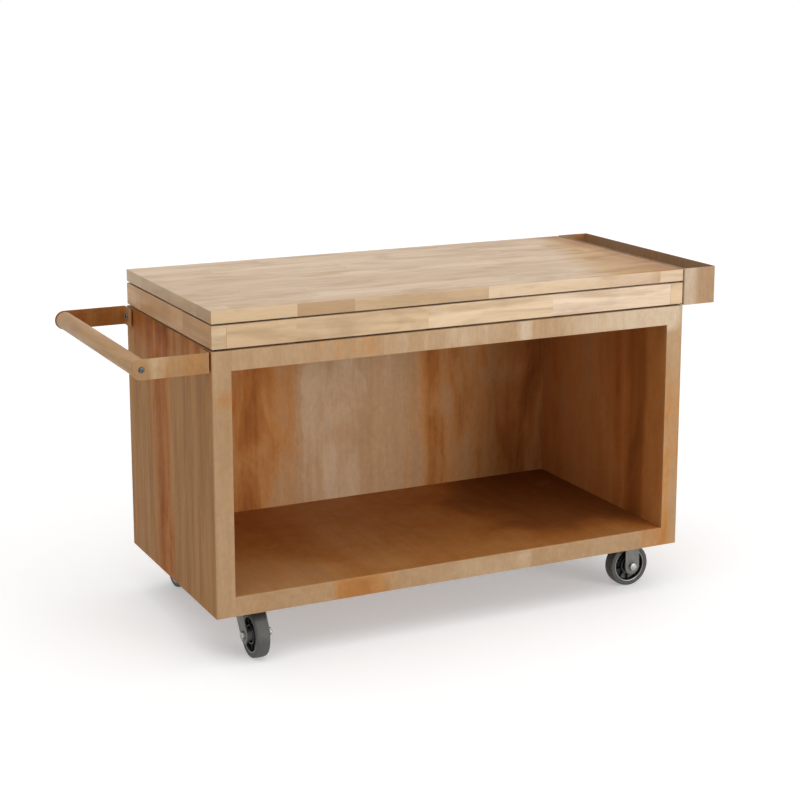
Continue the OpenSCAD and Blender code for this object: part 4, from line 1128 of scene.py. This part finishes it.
def makeCentre(look, name):
    # The ribs are one small block turned round the axle. The material reads each point's radius, reach,
    # and its distance from the wheel's middle plane, depth.
    centre, axis, _, _ = wheelFrame(name)
    half = np.array(look["half"]) / 1000
    profile = np.concatenate([half, half[::-1] * (-1, 1)])
    start, end, thick, long = look["rib"]
    points, quads, loops = boxSurface((start, -thick / 2, -long), (end, thick / 2, long), 0.0007)
    side, up = others(axis)
    surfaces = [turned(profile, centre, axis, 80, closed=True)]
    for turn in np.radians((np.arange(look["ribs"]) + 0.5) * 360 / look["ribs"]):
        placed = np.zeros_like(points)
        placed[:, axis] = points[:, 2]
        placed[:, side] = points[:, 0] * np.cos(turn) - points[:, 1] * np.sin(turn)
        placed[:, up] = points[:, 0] * np.sin(turn) + points[:, 1] * np.cos(turn)
        surfaces.append((placed + centre, quads, loops))
    piece = meshObject("wheelCentre_" + name, stacked(surfaces), 32.0)
    places = np.empty(len(piece.data.vertices) * 3, np.float32)
    piece.data.vertices.foreach_get("co", places)
    away = places.reshape(-1, 3) - centre
    for key, values in (("reach", np.hypot(away[:, side], away[:, up])), ("depth", np.abs(away[:, axis]))):
        attribute = piece.data.attributes.new(key, "FLOAT", "POINT")
        attribute.data.foreach_set("value", values.astype(np.float32))
    dress(piece, "wheelCentre", "wheel_" + name, "wheel_centre", "wheel_centre_" + name)


for wheel in ("front_left", "back_left", "front_right", "back_right"):
    makeTyre(tyreLook, wheel)
    makeCentre(centreLook, wheel)
print("casters made")


# Studio: pale floor, a soft lamp to the right of the camera, another overhead, and an even sky
studio = {
    "floorSize": 60.0,
    "floorShade": 0.8,
    "floorLift": 0.34,
    "sky": 0.51,
    "keyStrength": 1.02,
    "keyFrom": (27, 9),  # degrees to the right of the front, degrees above the horizon
    "keySoftness": 26,
    "topStrength": 1.10,
    "topFrom": (-20, 78),
    "topSoftness": 70,
    "sidePower": 8.0,  # a lamp near the right end, which lights that end a little more
    "sidePlace": (1.6, -2.4, 0.8),
    "sideAim": (0.4, 0.0, 0.5),
    "sideSize": 1.0,
}


def makeSun(name, strength, bearing, softness):
    data = bpy.data.lights.new(name, "SUN")
    data.energy = strength
    data.angle = math.radians(softness)
    linked(name, data).rotation_euler = (math.radians(90 - bearing[1]), 0, math.radians(bearing[0]))


def seenBy(kit, *rays):
    path = kit.node("LightPath").outputs
    seen = path[rays[0]]
    for ray in rays[1:]:
        seen = kit.calc("MAXIMUM", seen, path[ray])
    return seen


def makeStudio(look):
    half = look["floorSize"] / 2
    corners = np.array([[-half, -half, 0], [half, -half, 0], [half, half, 0], [-half, half, 0]])
    floor = meshObject("studioFloor", (corners, np.array([[0, 1, 2, 3]]), {}))
    material = bpy.data.materials.new("studioFloor")
    kit = clearedTree(material)
    seen = seenBy(kit, "Is Camera Ray", "Is Glossy Ray")
    shade = look["floorShade"]
    plain = kit.node("BsdfDiffuse", {"Color": (shade, shade, shade, 1.0)})
    lift = kit.node("Emission", {"Strength": kit.times(seen, look["floorLift"])})
    both = kit.node("AddShader", {0: plain.outputs[0], 1: lift.outputs[0]})
    kit.node("OutputMaterial", {"Surface": both.outputs[0]})
    floor.data.materials.append(material)

    world = bpy.data.worlds.new("studioWorld")
    bpy.context.scene.world = world
    kit = clearedTree(world)
    seen = seenBy(kit, "Is Camera Ray", "Is Transmission Ray", "Is Glossy Ray")
    sky = kit.fade(seen, 0.0, 1.0, look["sky"], 1.0)
    background = kit.node("Background", {"Color": (1, 1, 1, 1), "Strength": sky})
    kit.node("OutputWorld", {"Surface": background.outputs[0]})

    for sun in ("key", "top"):
        makeSun(sun + "Lamp", *[look[sun + part] for part in ("Strength", "From", "Softness")])
    data = bpy.data.lights.new("sideLamp", "AREA")
    data.energy = look["sidePower"]
    data.size = look["sideSize"]
    lamp = linked("sideLamp", data)
    lamp.location = look["sidePlace"]
    aim = Vector(look["sideAim"]) - Vector(look["sidePlace"])
    lamp.rotation_euler = aim.to_track_quat("-Z", "Y").to_euler()
    lamp.visible_camera = False


makeStudio(studio)
bpy.context.scene.view_settings.view_transform = "Standard"
print("studio lit")
